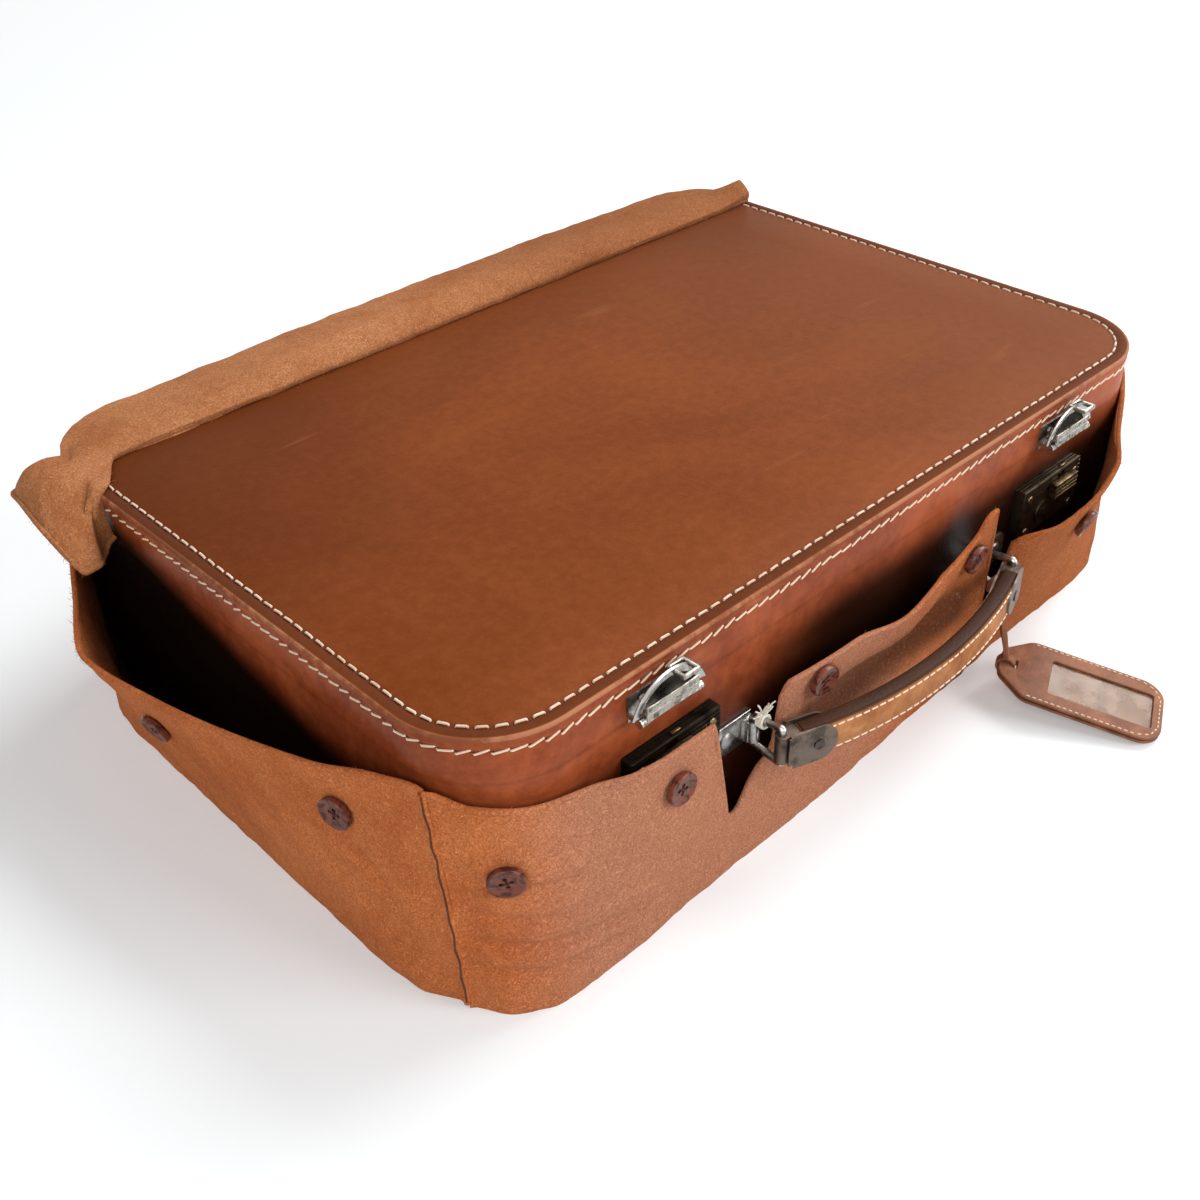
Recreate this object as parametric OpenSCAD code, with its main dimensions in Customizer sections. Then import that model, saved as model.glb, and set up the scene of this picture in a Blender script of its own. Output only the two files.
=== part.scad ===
// Toiletry case in leather-covered board, standing flat in its open cloth cover.
// Origin on the floor under the middle of the case, X to the right, Y to the back hinge, Z up.

/* [Case] */
// Length of the case, left to right
case_l = 462; // [400:2:540]
// Width of the case, front to back
case_w = 322; // [290:2:370]
// Height of the closed case
case_h = 129; // [124:1:150]
// Radius of the upright corners
corner_r = 44; // [38:1:56]
// Depth of the lid above the split
lid_h = 22; // [20:1:26]
// Thickness of the leather skin
skin_t = 2; // [1:0.5:2.5]
// Thickness of the board under the leather
board_t = 3; // [2:0.5:4]
// Thickness of the lining
lining_t = 1; // [0.5:0.25:1.5]
// Height of the lip that guides the lid
lip_h = 5; // [3:1:7]
// Thickness of the lip and of the dividers
lip_t = 2; // [1:0.5:3]
// Play between the lip and the lid lining
lip_play = 0.6; // [0.4:0.1:1]
// Height of the loose dividers inside
divider_h = 84; // [50:1:90]

/* [Back hinges] */
// Distance of each back hinge from the middle
back_hinge_x = 150; // [90:1:170]
// Length of a back hinge
back_hinge_l = 44; // [36:1:60]
// Height of one hinge leaf
back_leaf_h = 15; // [12:1:17]
// Radius of the hinge barrel
barrel_r = 3; // [2.5:0.1:3.4]
// Radius of the hinge pin
back_pin_r = 1.3; // [1:0.1:1.6]

/* [Hasps] */
// Distance of each hasp from the middle
hasp_x = 139; // [130:1:148]
// Radius of the hasp dish
hasp_r = 21; // [19:0.5:22]
// Reach of the hasp from its pin to its free edge
hasp_reach = 17; // [16:0.5:18]
// Depth of the hasp dish
hasp_depth = 3; // [2:0.5:3.5]
// How far the hasp pin stands off the lid
hasp_off = 6.6; // [6.4:0.1:7.6]
// Radius of the hasp pin
hasp_pin_r = 1; // [0.8:0.1:1.2]
// Width of the staple
staple_w = 9; // [7:0.5:10]
// How far the staple stands out past the pin
staple_l = 5.8; // [5:0.2:5.8]
// Distance of the staple from the pin
staple_reach = 14.5; // [13:0.5:15]
// Distance of the staple from the middle of the hasp
staple_x = 6; // [3:0.5:8]

/* [Locks] */
// Distance of each lock from the middle
lock_x = 134; // [130:1:140]
// Width of the lock
lock_w = 50; // [46:1:52]
// Height of the lock
lock_h = 27.5; // [26:0.5:30]
// How far the lock stands off the case
lock_t = 6; // [5:0.2:6]
// Thickness of the lock's sheet metal
lock_wall = 1.2; // [0.8:0.1:1.6]
// Travel of the thumb slide, which lifts the bolt into the staple
slide_travel = 5; // [4:0.5:5]
// How far the thumb slide stands off the lock
slide_t = 4; // [3:0.5:5]

/* [Handle] */
// Distance of each handle ring from the middle
ring_x = 84; // [78:1:88]
// Offset of the handle from the middle of the case
handle_dx = -5; // [-8:1:0]
// Height of the handle above the floor
handle_z = 65; // [60:1:68]
// Reach of a ring from its pivot to the handle
ring_reach = 16; // [14:0.5:18]
// Radius of the ring wire
wire_r = 1.75; // [1.5:0.05:2]
// Rise of the handle's arch
handle_rise = 16; // [10:1:20]
// Width of the leather grip
grip_w = 17; // [14:0.5:18]
// Thickness of the leather grip
grip_t = 8; // [6:0.5:9]
// Length of a ferrule along the grip
ferrule_l = 24; // [18:1:28]

/* [Tag] */
// Length of the luggage tag
tag_l = 84; // [70:1:92]
// Width of the luggage tag
tag_w = 45; // [36:1:50]
// Thickness of each leather layer of the tag
tag_leather_t = 1.4; // [1:0.1:1.6]
// Height of the tag's hanging end above the floor
tag_lift = 16; // [14:1:20]

/* [Cover] */
// Thickness of the cover's cloth
cloth_t = 2; // [1.5:0.1:2.2]
// Distance of the cloth walls from the case at the floor
cover_gap = 12.5; // [12:0.5:16]
// Width of lid that the thrown-back flap lies over
flap_cover = 42; // [30:1:60]
// Height of the flap's roll over the lid
flap_rise = 12; // [8:1:20]
// How far the flap's left corner hangs below the split
flap_corner_drop = 32; // [28:1:45]
// Radius of the cover's buttons
button_r = 7.5; // [6:0.5:9]

/* [Hidden] */

$fn = 48;
eps = 0.01;
hl = case_l / 2;
hw = case_w / 2;
case_z0 = cloth_t;
case_z1 = case_z0 + case_h;
split_z = case_z1 - lid_h;
wall_t = skin_t + board_t + lining_t;
run_play = 0.08;
soft_gap = 0.3;
hinge_y = hw + barrel_r;
hasp_y = -(hw + hasp_off);
hasp_z = split_z + 3;
hasp_dx = -2.5;
hasp_sheet = 1;
knuckle_r = 2;
hasp_foot = 2.8;
ear_x = 15.6;
ear_t = 1;
lock_y = -(hw + lock_t);
lock_z1 = hasp_z - hasp_reach - 2;
lock_dx = hasp_dx;
ring_y = -(hw + 4.2);
ring_out_y = ring_y - ring_reach;
ring_in_h = 7;
ring_out_h = 9.5;
bracket_t = 1.5;
bracket_h = 16;
bracket_l = lock_x - lock_w / 2 - lock_dx + handle_dx - ring_x - 0.5;
eye_r = wire_r + 1.5;
ring_l = handle_dx - ring_x;
ring_r = handle_dx + ring_x;
handle_r = (pow(ring_x, 2) + pow(handle_rise, 2)) / (2 * handle_rise);
handle_cy = ring_out_y - handle_rise + handle_r;
handle_end = asin(ring_x / handle_r);
deg_per_mm = 180 / (PI * handle_r);
ferrule_t = 1;
rivet_r = 2.5;
strap_in = 8.8;
strap_play = 0.5;
strap_y = ring_y - strap_in;
strap_w = 5;
strap_t = 1.4;
strap_wire_z = handle_z - (ring_in_h + (ring_out_h - ring_in_h) * strap_in / ring_reach);
strap_top_z = strap_wire_z + wire_r + strap_play + strap_t;
strap_open_h = 4.2;
strap_open_w = 6.4;
tag_x = ring_r - 1;
tag_y = strap_y - 12.8;
tag_heading = -65;
tag_bar = 3;
tag_eye_r = 3.6;
tag_tail = 7;
tag_t = 2 * tag_leather_t + 0.8;
tag_pitch = asin((tag_lift - tag_t / 2 - 0.4) / (tag_l - tag_tail));

// Rounded rectangle with true arcs
module rounded(l, w, r) {
    square([l - 2 * r, w], center = true);
    square([l, w - 2 * r], center = true);
    for (x = [-1, 1], y = [-1, 1])
        translate([x * (l / 2 - r), y * (w / 2 - r)]) circle(r, $fn = 96);
}

// Block of the case's outline, drawn in by a distance, between two heights
module slab(inset, z0, z1) {
    translate([0, 0, z0]) linear_extrude(z1 - z0)
        rounded(case_l - 2 * inset, case_w - 2 * inset, corner_r - inset);
}

// Round bar between two points
module rod(a, b, r) {
    d = b - a;
    translate(a) rotate([0, acos(d[2] / norm(d)), atan2(d[1], d[0])]) cylinder(r = r, h = norm(d));
}

// Case base

module base_leather() {
    color("#8a4320") difference() {
        slab(0, case_z0, split_z);
        slab(skin_t, case_z0 + skin_t, split_z + 1);
    }
}

module base_board() {
    color("#b09468") difference() {
        slab(skin_t, case_z0 + skin_t, split_z);
        slab(skin_t + board_t, case_z0 + skin_t + board_t, split_z + 1);
    }
}

module base_lining() {
    color("#d8c39b") difference() {
        slab(skin_t + board_t, case_z0 + skin_t + board_t, split_z);
        slab(wall_t, case_z0 + wall_t, split_z + 1);
    }
}

// Lip flush inside the base lining, stepped in where it stands up into the lid
module base_lip() {
    color("#7a4526") difference() {
        union() {
            slab(wall_t, split_z - 8, split_z);
            slab(wall_t + lip_play, split_z - eps, split_z + lip_h);
        }
        slab(wall_t + lip_t, split_z - 9, split_z + lip_h + 1);
    }
}

divider_y = 20;
divider_x = 75;
divider_z0 = case_z0 + wall_t;
divider_len = case_l - 2 * wall_t - 2 * lip_t - 1;

module divider_long() {
    color("#9a6a3c") translate([-divider_len / 2, divider_y - lip_t / 2, divider_z0])
        cube([divider_len, lip_t, divider_h]);
}

// Two short dividers in front of the long one
module dividers_cross() {
    depth = hw - wall_t - lip_t + divider_y - lip_t / 2 - 0.8;
    color("#9a6a3c") for (s = [-1, 1])
        translate([s * divider_x - lip_t / 2, divider_y - lip_t / 2 - 0.3 - depth, divider_z0])
            cube([lip_t, depth, divider_h - 10]);
}

// Lid

module lid_top_leather() {
    color("#8f4a22") slab(0, case_z1 - skin_t, case_z1);
}

module lid_side_leather() {
    color("#9a4a26") difference() {
        slab(0, split_z, case_z1 - skin_t);
        slab(skin_t, split_z - 1, case_z1);
    }
}

module lid_board() {
    color("#b09468") difference() {
        slab(skin_t, split_z, case_z1 - skin_t);
        slab(skin_t + board_t, split_z - 1, case_z1 - skin_t - board_t);
    }
}

module lid_lining() {
    color("#d8c39b") difference() {
        slab(skin_t + board_t, split_z, case_z1 - skin_t - board_t);
        slab(wall_t, split_z - 1, case_z1 - wall_t);
    }
}

// Elastic band across the inside of the lid, held at both ends
module lid_pocket_band() {
    band_l = 2 * (hl - wall_t) - 30;
    band_z = case_z1 - wall_t;
    color("#a9713f") translate([-band_l / 2, -12, band_z - 1.6]) {
        cube([band_l, 24, 1.6]);
        for (x = [0, band_l - 6]) translate([x, 2, -0.8]) cube([6, 20, 1]);
    }
}

// Back hinges

// The knuckles of one back hinge: the middle one is the lid's, the outer two the base's
module back_knuckles(lid) {
    mid = back_hinge_l * 0.45;
    side = (back_hinge_l - mid) / 2;
    spans = lid ? [[-mid / 2 + 0.15, mid - 0.3]] : [[-back_hinge_l / 2, side], [mid / 2, side]];
    for (s = spans) translate([s[0], hinge_y, split_z]) rotate([0, 90, 0])
        cylinder(r = barrel_r, h = s[1]);
    for (s = spans) translate([s[0], hw, lid ? split_z : split_z - 3]) cube([s[1], barrel_r, 3]);
}

module back_leaf(lid) {
    z0 = lid ? split_z + 0.3 : split_z - back_leaf_h;
    difference() {
        union() {
            translate([-back_hinge_l / 2, hw, z0]) cube([back_hinge_l, 1.2, back_leaf_h - 0.3]);
            back_knuckles(lid);
        }
        translate([-back_hinge_l, hinge_y, split_z]) rotate([0, 90, 0])
            cylinder(r = lid ? back_pin_r + run_play : back_pin_r, h = 2 * back_hinge_l);
        gap_l = back_hinge_l * 0.45 + 0.3;
        if (!lid) translate([-gap_l / 2, hw - 1, split_z - barrel_r - 0.6])
            cube([gap_l, 2 * barrel_r + 2, 2 * barrel_r]);
        if (lid) for (s = [-1, 1])
            translate([s > 0 ? gap_l / 2 - 0.3 : -gap_l / 2 + 0.3 - back_hinge_l, hw - 1, split_z - 1])
                cube([back_hinge_l, 2 * barrel_r + 2, barrel_r + 1.6]);
    }
}

module back_hinge_base_leaves() {
    color("#c8c8c4") for (s = [-1, 1]) translate([s * back_hinge_x, 0, 0]) back_leaf(false);
}

module back_hinge_lid_leaves() {
    color("#c8c8c4") for (s = [-1, 1]) translate([s * back_hinge_x, 0, 0]) back_leaf(true);
}

module back_hinge_pins() {
    color("#b8b8b4") for (s = [-1, 1]) translate([s * back_hinge_x - back_hinge_l / 2, hinge_y, split_z])
        rotate([0, 90, 0]) cylinder(r = back_pin_r, h = back_hinge_l);
}

// Low round screw heads on the hinge leaves
module back_screws(z) {
    color("#b8b8b4") for (s = [-1, 1], d = [-1, 1])
        translate([s * back_hinge_x + d * (back_hinge_l / 2 - 5), hw + 1.2, z]) rotate([-90, 0, 0])
            cylinder(r1 = 2.2, r2 = 1.4, h = 0.6);
}

module back_hinge_base_screws() { back_screws(split_z - back_leaf_h * 0.6); }

module back_hinge_lid_screws() { back_screws(split_z + back_leaf_h * 0.6); }

// Hasps

// Folded bracket on the lid with two ears round the hasp pin
module hasp_bracket(side) {
    color("#cfd0d0") translate([side * hasp_x + hasp_dx, 0, 0]) difference() {
        union() {
            translate([-ear_x - ear_t, -hw - hasp_sheet, split_z + 0.3])
                cube([2 * (ear_x + ear_t), hasp_sheet, 12]);
            for (x = [-ear_x - ear_t, ear_x]) {
                translate([x, hasp_y, hasp_z - 0.7]) cube([ear_t, hasp_off, 2.4]);
                translate([x, hasp_y, hasp_z]) rotate([0, 90, 0]) cylinder(r = knuckle_r, h = ear_t);
            }
        }
        translate([-hasp_r * 2, hasp_y, hasp_z]) rotate([0, 90, 0])
            cylinder(r = hasp_pin_r, h = 4 * hasp_r);
    }
}

module hasp_bracket_left() { hasp_bracket(-1); }

module hasp_bracket_right() { hasp_bracket(1); }

module hasp_bracket_rivets() {
    color("#b8b8b4") for (s = [-1, 1], d = [-1, 1])
        translate([s * hasp_x + hasp_dx + d * 9, -hw - hasp_sheet, split_z + 8]) rotate([90, 0, 0])
            cylinder(r1 = 2, r2 = 1.3, h = 0.8);
}

module hasp_pins() {
    color("#b8b8b4") for (s = [-1, 1])
        translate([s * hasp_x + hasp_dx - ear_x - ear_t, hasp_y, hasp_z]) rotate([0, 90, 0])
            cylinder(r = hasp_pin_r, h = 2 * (ear_x + ear_t));
}

// Half-round dished plate, thrown up with its hollow side outwards, and its staple
module hasp(side) {
    dish_cz = hasp_reach - hasp_r;
    color("#d5d6d6") translate([side * hasp_x + hasp_dx, hasp_y, hasp_z]) difference() {
        union() {
            intersection() {
                translate([0, 0.2, dish_cz]) rotate([-90, 0, 0]) rotate_extrude($fn = 96) polygon([
                    [0, hasp_depth], [0, hasp_depth + hasp_sheet],
                    [hasp_r - 7, hasp_depth + hasp_sheet], [hasp_r - 2.6, hasp_sheet],
                    [hasp_r, hasp_sheet], [hasp_r, 0],
                    [hasp_r - 3, 0], [hasp_r - 7.4, hasp_depth]]);
                translate([-hasp_r, 0, hasp_foot]) cube([2 * hasp_r, 2 * hasp_depth, hasp_reach]);
            }
            // Flat strip that joins the dish to its knuckle
            translate([-14, -knuckle_r, 0]) cube([28, 1, 7]);
            translate([-14, -knuckle_r, hasp_foot]) cube([28, hasp_depth + knuckle_r + 1, 0.9]);
            translate([-ear_x + 0.2, 0, 0]) rotate([0, 90, 0])
                cylinder(r = knuckle_r, h = 2 * ear_x - 0.4);
            staple();
        }
        translate([-2 * hasp_r, 0, 0]) rotate([0, 90, 0])
            cylinder(r = hasp_pin_r + run_play, h = 4 * hasp_r);
    }
}

// Square loop that the lock holds, standing out of the dish
module staple() {
    staple_h = 3;
    arm = staple_l + hasp_depth + 0.6;
    translate([staple_x - staple_w / 2, -staple_l, staple_reach - staple_h / 2])
        difference() {
            cube([staple_w, arm, staple_h]);
            translate([1.3, 1.3, -1]) cube([staple_w - 2.6, staple_l - 1.3, staple_h + 2]);
        }
}

module hasp_left() { hasp(-1); }

module hasp_right() { hasp(1); }

// Locks

slide_w = 20;
slide_h = 8;
slide_z = lock_z1 - 8;
bolt_w = 5;
bolt_t = 1.6;
// The bolt stands under the closed hasp's staple, to the right of the slide's middle
bolt_out = 4;
function slide_x(side) = side * (hasp_x - lock_x) + staple_x - bolt_out;

// Hollow pressed lock with a fluted top band, a round cover plate, and slots for slide and bolt
module lock_body(side) {
    color("#5b4a36") translate([side * lock_x + lock_dx, 0, 0]) difference() {
        union() {
            translate([-lock_w / 2, lock_y, lock_z1 - lock_h]) cube([lock_w, lock_t, lock_h]);
            translate([slide_x(side) - side * 14, lock_y, slide_z - 10]) rotate([90, 0, 0])
                cylinder(r = 6.5, h = 1);
        }
        translate([-lock_w / 2 + lock_wall, lock_y + lock_wall, lock_z1 - lock_h + lock_wall])
            cube([lock_w - 2 * lock_wall, lock_t, lock_h - 2 * lock_wall]);
        for (k = [0:2]) translate([-lock_w / 2 - 1, lock_y - 0.6, lock_z1 - 2.2 - 2.2 * k])
            cube([lock_w + 2, 1, 0.9]);
        translate([slide_x(side) - 3.4, lock_y - 1, slide_z - 4]) cube([6.8, 3, 5 + slide_travel]);
        translate([slide_x(side) + bolt_out - bolt_w / 2 - 0.3, lock_y + lock_wall, lock_z1 - 3])
            cube([bolt_w + 0.6, bolt_t + 0.6, 4]);
    }
}

// Ribbed thumb slide with its stem, the plate behind the lock's face and the bolt on it
module lock_slide(side) {
    color("#8b7a5c") translate([side * lock_x + lock_dx + slide_x(side), 0, slide_z]) {
        difference() {
            translate([-slide_w / 2, lock_y - slide_t, -slide_h / 2])
                cube([slide_w, slide_t - 0.2, slide_h]);
            for (k = [-1:1]) translate([-slide_w, lock_y - slide_t - 0.5, 2.2 * k - 0.5])
                cube([2 * slide_w, 1.3, 1]);
        }
        translate([-3, lock_y - 0.3, -3.5]) cube([6, lock_wall + 0.8, 4]);
        translate([-7, lock_y + lock_wall + 0.2, -4]) cube([14, bolt_t, 5]);
        translate([bolt_out - bolt_w / 2, lock_y + lock_wall + 0.2, 0])
            cube([bolt_w, bolt_t, lock_z1 - slide_z + 0.5]);
    }
}

module lock_body_left() { lock_body(-1); }

module lock_body_right() { lock_body(1); }

module lock_slide_left() { lock_slide(-1); }

module lock_slide_right() { lock_slide(1); }

module lock_screws() {
    color("#9a9a96") for (s = [-1, 1], d = [-1, 1], z = [lock_z1 - 6, lock_z1 - lock_h + 3])
        translate([s * lock_x + lock_dx + d * (lock_w / 2 - 5), lock_y, z])
            rotate([90, 0, 0]) cylinder(r1 = 2, r2 = 1.4, h = 0.7);
}

// Handle

// Bright plate on the case with an eye for the ring's upright bar
module handle_bracket(side) {
    color("#c9cccf") translate([handle_dx, 0, 0]) mirror([side > 0 ? 0 : 1, 0, 0]) difference() {
        union() {
            translate([ring_x - 4, -hw - bracket_t, handle_z - bracket_h / 2])
                cube([bracket_l + 4, bracket_t, bracket_h]);
            translate([ring_x, ring_y, handle_z - 5.5]) cylinder(r = eye_r, h = 11);
            translate([ring_x, ring_y, handle_z - 5.5]) cube([eye_r + 1, -ring_y - hw, 11]);
        }
        translate([ring_x, ring_y, handle_z - 20]) cylinder(r = wire_r + run_play, h = 40);
        for (z = [-1, 1]) translate([ring_x - 4.5, -hw - 3 * bracket_t, handle_z + z * 7.5 - 2])
            cube([7, 4 * bracket_t, 4]);
    }
}

module handle_bracket_left() { handle_bracket(-1); }

module handle_bracket_right() { handle_bracket(1); }

module handle_bracket_rivets() {
    color("#7d7f82") for (s = [-1, 1])
        translate([handle_dx + s * (ring_x + bracket_l * 0.62), -hw - bracket_t, handle_z]) rotate([90, 0, 0])
            cylinder(r1 = 4, r2 = 2.8, h = 1.4);
}

// Wire loop, a little taller at the handle than at the case
module handle_ring(side) {
    corners = [[0, 0, -ring_in_h], [0, -ring_reach, -ring_out_h], [0, -ring_reach, ring_out_h],
        [0, 0, ring_in_h]];
    color("#c5c8ca") translate([handle_dx + side * ring_x, ring_y, handle_z]) {
        for (i = [0:3]) rod(corners[i], corners[(i + 1) % 4], i % 2 == 0 ? wire_r - 0.15 : wire_r);
        for (c = corners) translate(c) sphere(wire_r + 0.1);
    }
}

module handle_ring_left() { handle_ring(-1); }

module handle_ring_right() { handle_ring(1); }

// Loop of string knotted round the left ring's upper wire, with short frayed ends
module string_tuft() {
    y = ring_y - 5.2;
    z = handle_z + ring_in_h + 5.2 * (ring_out_h - ring_in_h) / ring_reach;
    color("#e6e0cf") translate([ring_l, y, z]) {
        rotate([90, 0, 0]) rotate_extrude() translate([wire_r + 1.1, 0]) circle(0.9, $fn = 16);
        for (a = [-50:25:50]) rod([0, 0, wire_r + 0.9], [7 * sin(a), -2, wire_r + 1 + 6 * cos(a)], 0.45);
    }
}

// A shell that follows the handle's arch between two radii and two angles
module arch(r0, r1, h, a0, a1) {
    translate([handle_dx, handle_cy, handle_z - h / 2]) rotate([0, 0, -90 + a0])
        rotate_extrude(angle = a1 - a0, $fn = 180) translate([r0, 0]) square([r1 - r0, h]);
}

ferrule_mid = handle_end - (ferrule_l * 0.6) * deg_per_mm;

// Bore through grip and ferrule for the rivet of one end
module rivet_bore(side, r, h) {
    translate([handle_dx, handle_cy, handle_z]) rotate([0, 0, -90 + side * ferrule_mid])
        translate([handle_r - h / 2, 0, 0]) rotate([0, 90, 0]) cylinder(r = r, h = h);
}

// Flat laminated leather strap, bent to its arch
module handle_grip() {
    end = handle_end - 8 * deg_per_mm;
    color("#8a5226") difference() {
        arch(handle_r - grip_t / 2, handle_r + grip_t / 2, grip_w, -end, end);
        for (s = [-1, 1]) rivet_bore(s, rivet_r, 3 * grip_t);
    }
}

// Folded steel plate: an eye round the ring and two cheeks round the end of the grip
module handle_ferrule(side) {
    a1 = handle_end - 0.5 * deg_per_mm;
    a0 = handle_end - ferrule_l * deg_per_mm;
    w = grip_w + 1;
    color("#55575a") translate([handle_dx, 0, 0]) mirror([side > 0 ? 0 : 1, 0, 0])
        translate([-handle_dx, 0, 0]) difference() {
        union() {
            intersection() {
                union() {
                    arch(handle_r + grip_t / 2, handle_r + grip_t / 2 + ferrule_t, w, a0, a1);
                    arch(handle_r - grip_t / 2 - ferrule_t, handle_r - grip_t / 2, w, a0, a1);
                }
                translate([ring_r, ring_out_y, handle_z]) rotate([0, 0, handle_end])
                    translate([0, -2 * grip_t, 0]) rotate([-90, 0, 0])
                        linear_extrude(4 * grip_t) ferrule_outline(w);
            }
            arch(handle_r - grip_t / 2 - 0.3, handle_r + grip_t / 2 + 0.3, 14, handle_end - 7.6 * deg_per_mm,
                handle_end - 2 * deg_per_mm);
            translate([ring_r, ring_out_y, handle_z - 7]) cylinder(r = wire_r + 1.6, h = 14);
        }
        translate([ring_r, ring_out_y, handle_z - 20]) cylinder(r = wire_r + run_play, h = 40);
        for (z = [-1, 1]) translate([ring_r, ring_out_y, handle_z + z * 11 - 4])
            cylinder(r = 5.5, h = 8);
        rivet_bore(1, rivet_r, 3 * grip_t);
    }
}

// Side view of a cheek: straight from the ring, round at its tip
module ferrule_outline(w) {
    translate([-ferrule_l + w / 2, -w / 2]) square([ferrule_l, w]);
    translate([-ferrule_l + w / 2, 0]) circle(w / 2);
}

module handle_ferrule_left() { handle_ferrule(-1); }

module handle_ferrule_right() { handle_ferrule(1); }

module handle_ferrule_rivets() {
    color("#3d3a3a") for (s = [-1, 1]) rivet_bore(s, rivet_r, grip_t + 2 * ferrule_t + 1.2);
}

// Tag

// Loose strap: a square eye round the ring's lower wire and a round eye round the tag's end bar
module tag_strap() {
    foot = [tag_x, tag_y, tag_lift];
    head = [ring_r, strap_y, strap_top_z - 2 * strap_t - strap_open_h];
    eye_out = tag_eye_r + 1.2;
    d = (foot + [0, 0, eye_out - 0.6]) - head;
    lean = acos(-d[2] / norm(d));
    turn = atan2(d[1], d[0]);
    color("#7c4a2a") {
        translate([ring_r, strap_y, strap_top_z]) difference() {
            translate([-strap_open_w / 2 - strap_t, -strap_w / 2, -2 * strap_t - strap_open_h])
                cube([strap_open_w + 2 * strap_t, strap_w, 2 * strap_t + strap_open_h]);
            translate([-strap_open_w / 2, -strap_w, -strap_t - strap_open_h])
                cube([strap_open_w, 2 * strap_w, strap_open_h]);
        }
        translate(head + [0, 0, 0.3]) rotate([0, 0, turn]) rotate([0, 180 - lean, 0])
            rotate([0, 0, -turn]) linear_extrude(norm(d) + 0.3, twist = -tag_heading - 90, slices = 6)
                square([2 * strap_t, strap_w], center = true);
        translate(foot) rotate([0, 0, tag_heading]) rotate([90, 0, 0]) difference() {
            cylinder(r = eye_out, h = strap_w, center = true);
            cylinder(r = tag_eye_r, h = 2 * strap_w, center = true);
        }
    }
}

// Places what is drawn flat, with the strap's eye at the origin and the tag along +X
module tag_place() {
    translate([tag_x, tag_y, tag_lift]) rotate([0, 0, tag_heading]) rotate([0, tag_pitch, 0]) children();
}

// Tag outline with rounded outer corners, narrowed at the strap's end
module tag_outline(inset) {
    r = 10 - inset;
    x0 = -tag_tail / 2 + 0.5 + inset;
    x1 = tag_l - tag_tail - inset;
    w = tag_w / 2 - inset;
    polygon(concat([[x0 + 14, -w]],
        [for (a = [-90:9:0]) [x1 - r + r * cos(a), -w + r + r * sin(a)]],
        [for (a = [0:9:90]) [x1 - r + r * cos(a), w - r + r * sin(a)]],
        [[x0 + 14, w], [x0, 9], [x0, -9]]));
}

window_x = 22;
window_l = 58;
window_w = 26;

module tag_slot() {
    translate([tag_bar, -strap_w / 2 - 0.7]) square([2.6, strap_w + 1.4]);
}

module tag_back() {
    color("#7f4b2b") tag_place() translate([0, 0, -tag_t / 2]) linear_extrude(tag_leather_t)
        difference() {
            tag_outline(0);
            tag_slot();
        }
}

module tag_front() {
    color("#8d5632") tag_place() translate([0, 0, tag_t / 2 - tag_leather_t])
        linear_extrude(tag_leather_t) difference() {
            tag_outline(0);
            tag_slot();
            translate([window_x, -window_w / 2]) square([window_l, window_w]);
        }
}

// The card and the clear sheet over it lie between the two leathers
module tag_card() {
    color("#d9c7a5") tag_place() translate([9, -tag_w / 2 + 5, -tag_t / 2 + tag_leather_t])
        cube([tag_l - tag_tail - 14, tag_w - 10, 0.4]);
}

module tag_window() {
    color([0.9, 0.93, 0.95, 0.4]) tag_place()
        translate([9, -tag_w / 2 + 5, -tag_t / 2 + tag_leather_t + 0.4])
            cube([tag_l - tag_tail - 14, tag_w - 10, 0.4]);
}

// Cloth cover

// Curve through stations [place, value...] with no overshoot between them
function seg(x, p, i = 0) = (i >= len(p) - 2 || x < p[i + 1][0]) ? i : seg(x, p, i + 1);
function rate(p, k, i) = (p[i + 1][k] - p[i][k]) / (p[i + 1][0] - p[i][0]);
function slope(p, k, i) =
    i <= 0 || i >= len(p) - 1 ? 0 :
    let (a = rate(p, k, i - 1), b = rate(p, k, i)) a * b <= 0 ? 0 : 2 * a * b / (a + b);
function glide(x, p, k) =
    let (i = seg(x, p), h = p[i + 1][0] - p[i][0], t = min(1, max(0, (x - p[i][0]) / h)))
    (2 * t * t * t - 3 * t * t + 1) * p[i][k] + (t * t * t - 2 * t * t + t) * h * slope(p, k, i)
    + (3 * t * t - 2 * t * t * t) * p[i + 1][k] + (t * t * t - t * t) * h * slope(p, k, i + 1);

// Places of the columns: every station, and steps of about the given size between them
function columns(p, step) = concat(
    [for (i = [0:len(p) - 2]) let (d = p[i + 1][0] - p[i][0], n = ceil(d / step - 0.1))
        for (k = [0:n - 1]) p[i][0] + d * k / n],
    [p[len(p) - 1][0]]);

// Closed sheet between an outer and an inner grid of points
module sheet(outer, inner) {
    n = len(outer);
    m = len(outer[0]);
    q = n * m;
    function at(i, j) = i * m + j;
    function pair(a, b, c, d) = [[a, b, c], [a, c, d]];
    skin = [for (i = [0:n - 2], j = [0:m - 2]) each concat(
        pair(at(i, j), at(i, j + 1), at(i + 1, j + 1), at(i + 1, j)),
        pair(q + at(i, j), q + at(i + 1, j), q + at(i + 1, j + 1), q + at(i, j + 1)))];
    ends = [for (i = [0:n - 2]) each concat(
        pair(at(i, 0), at(i + 1, 0), q + at(i + 1, 0), q + at(i, 0)),
        pair(at(i + 1, m - 1), at(i, m - 1), q + at(i, m - 1), q + at(i + 1, m - 1)))];
    sides = [for (j = [0:m - 2]) each concat(
        pair(at(0, j + 1), at(0, j), q + at(0, j), q + at(0, j + 1)),
        pair(at(n - 1, j), at(n - 1, j + 1), q + at(n - 1, j + 1), q + at(n - 1, j)))];
    polyhedron([for (g = [outer, inner], c = g, p = c) p], concat(skin, ends, sides));
}

rows = 7;
wall_curve = 1.3;
corner_x = hl + 3;
hug = cloth_t + 0.5;
back_rim_z = split_z - 2;

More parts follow.
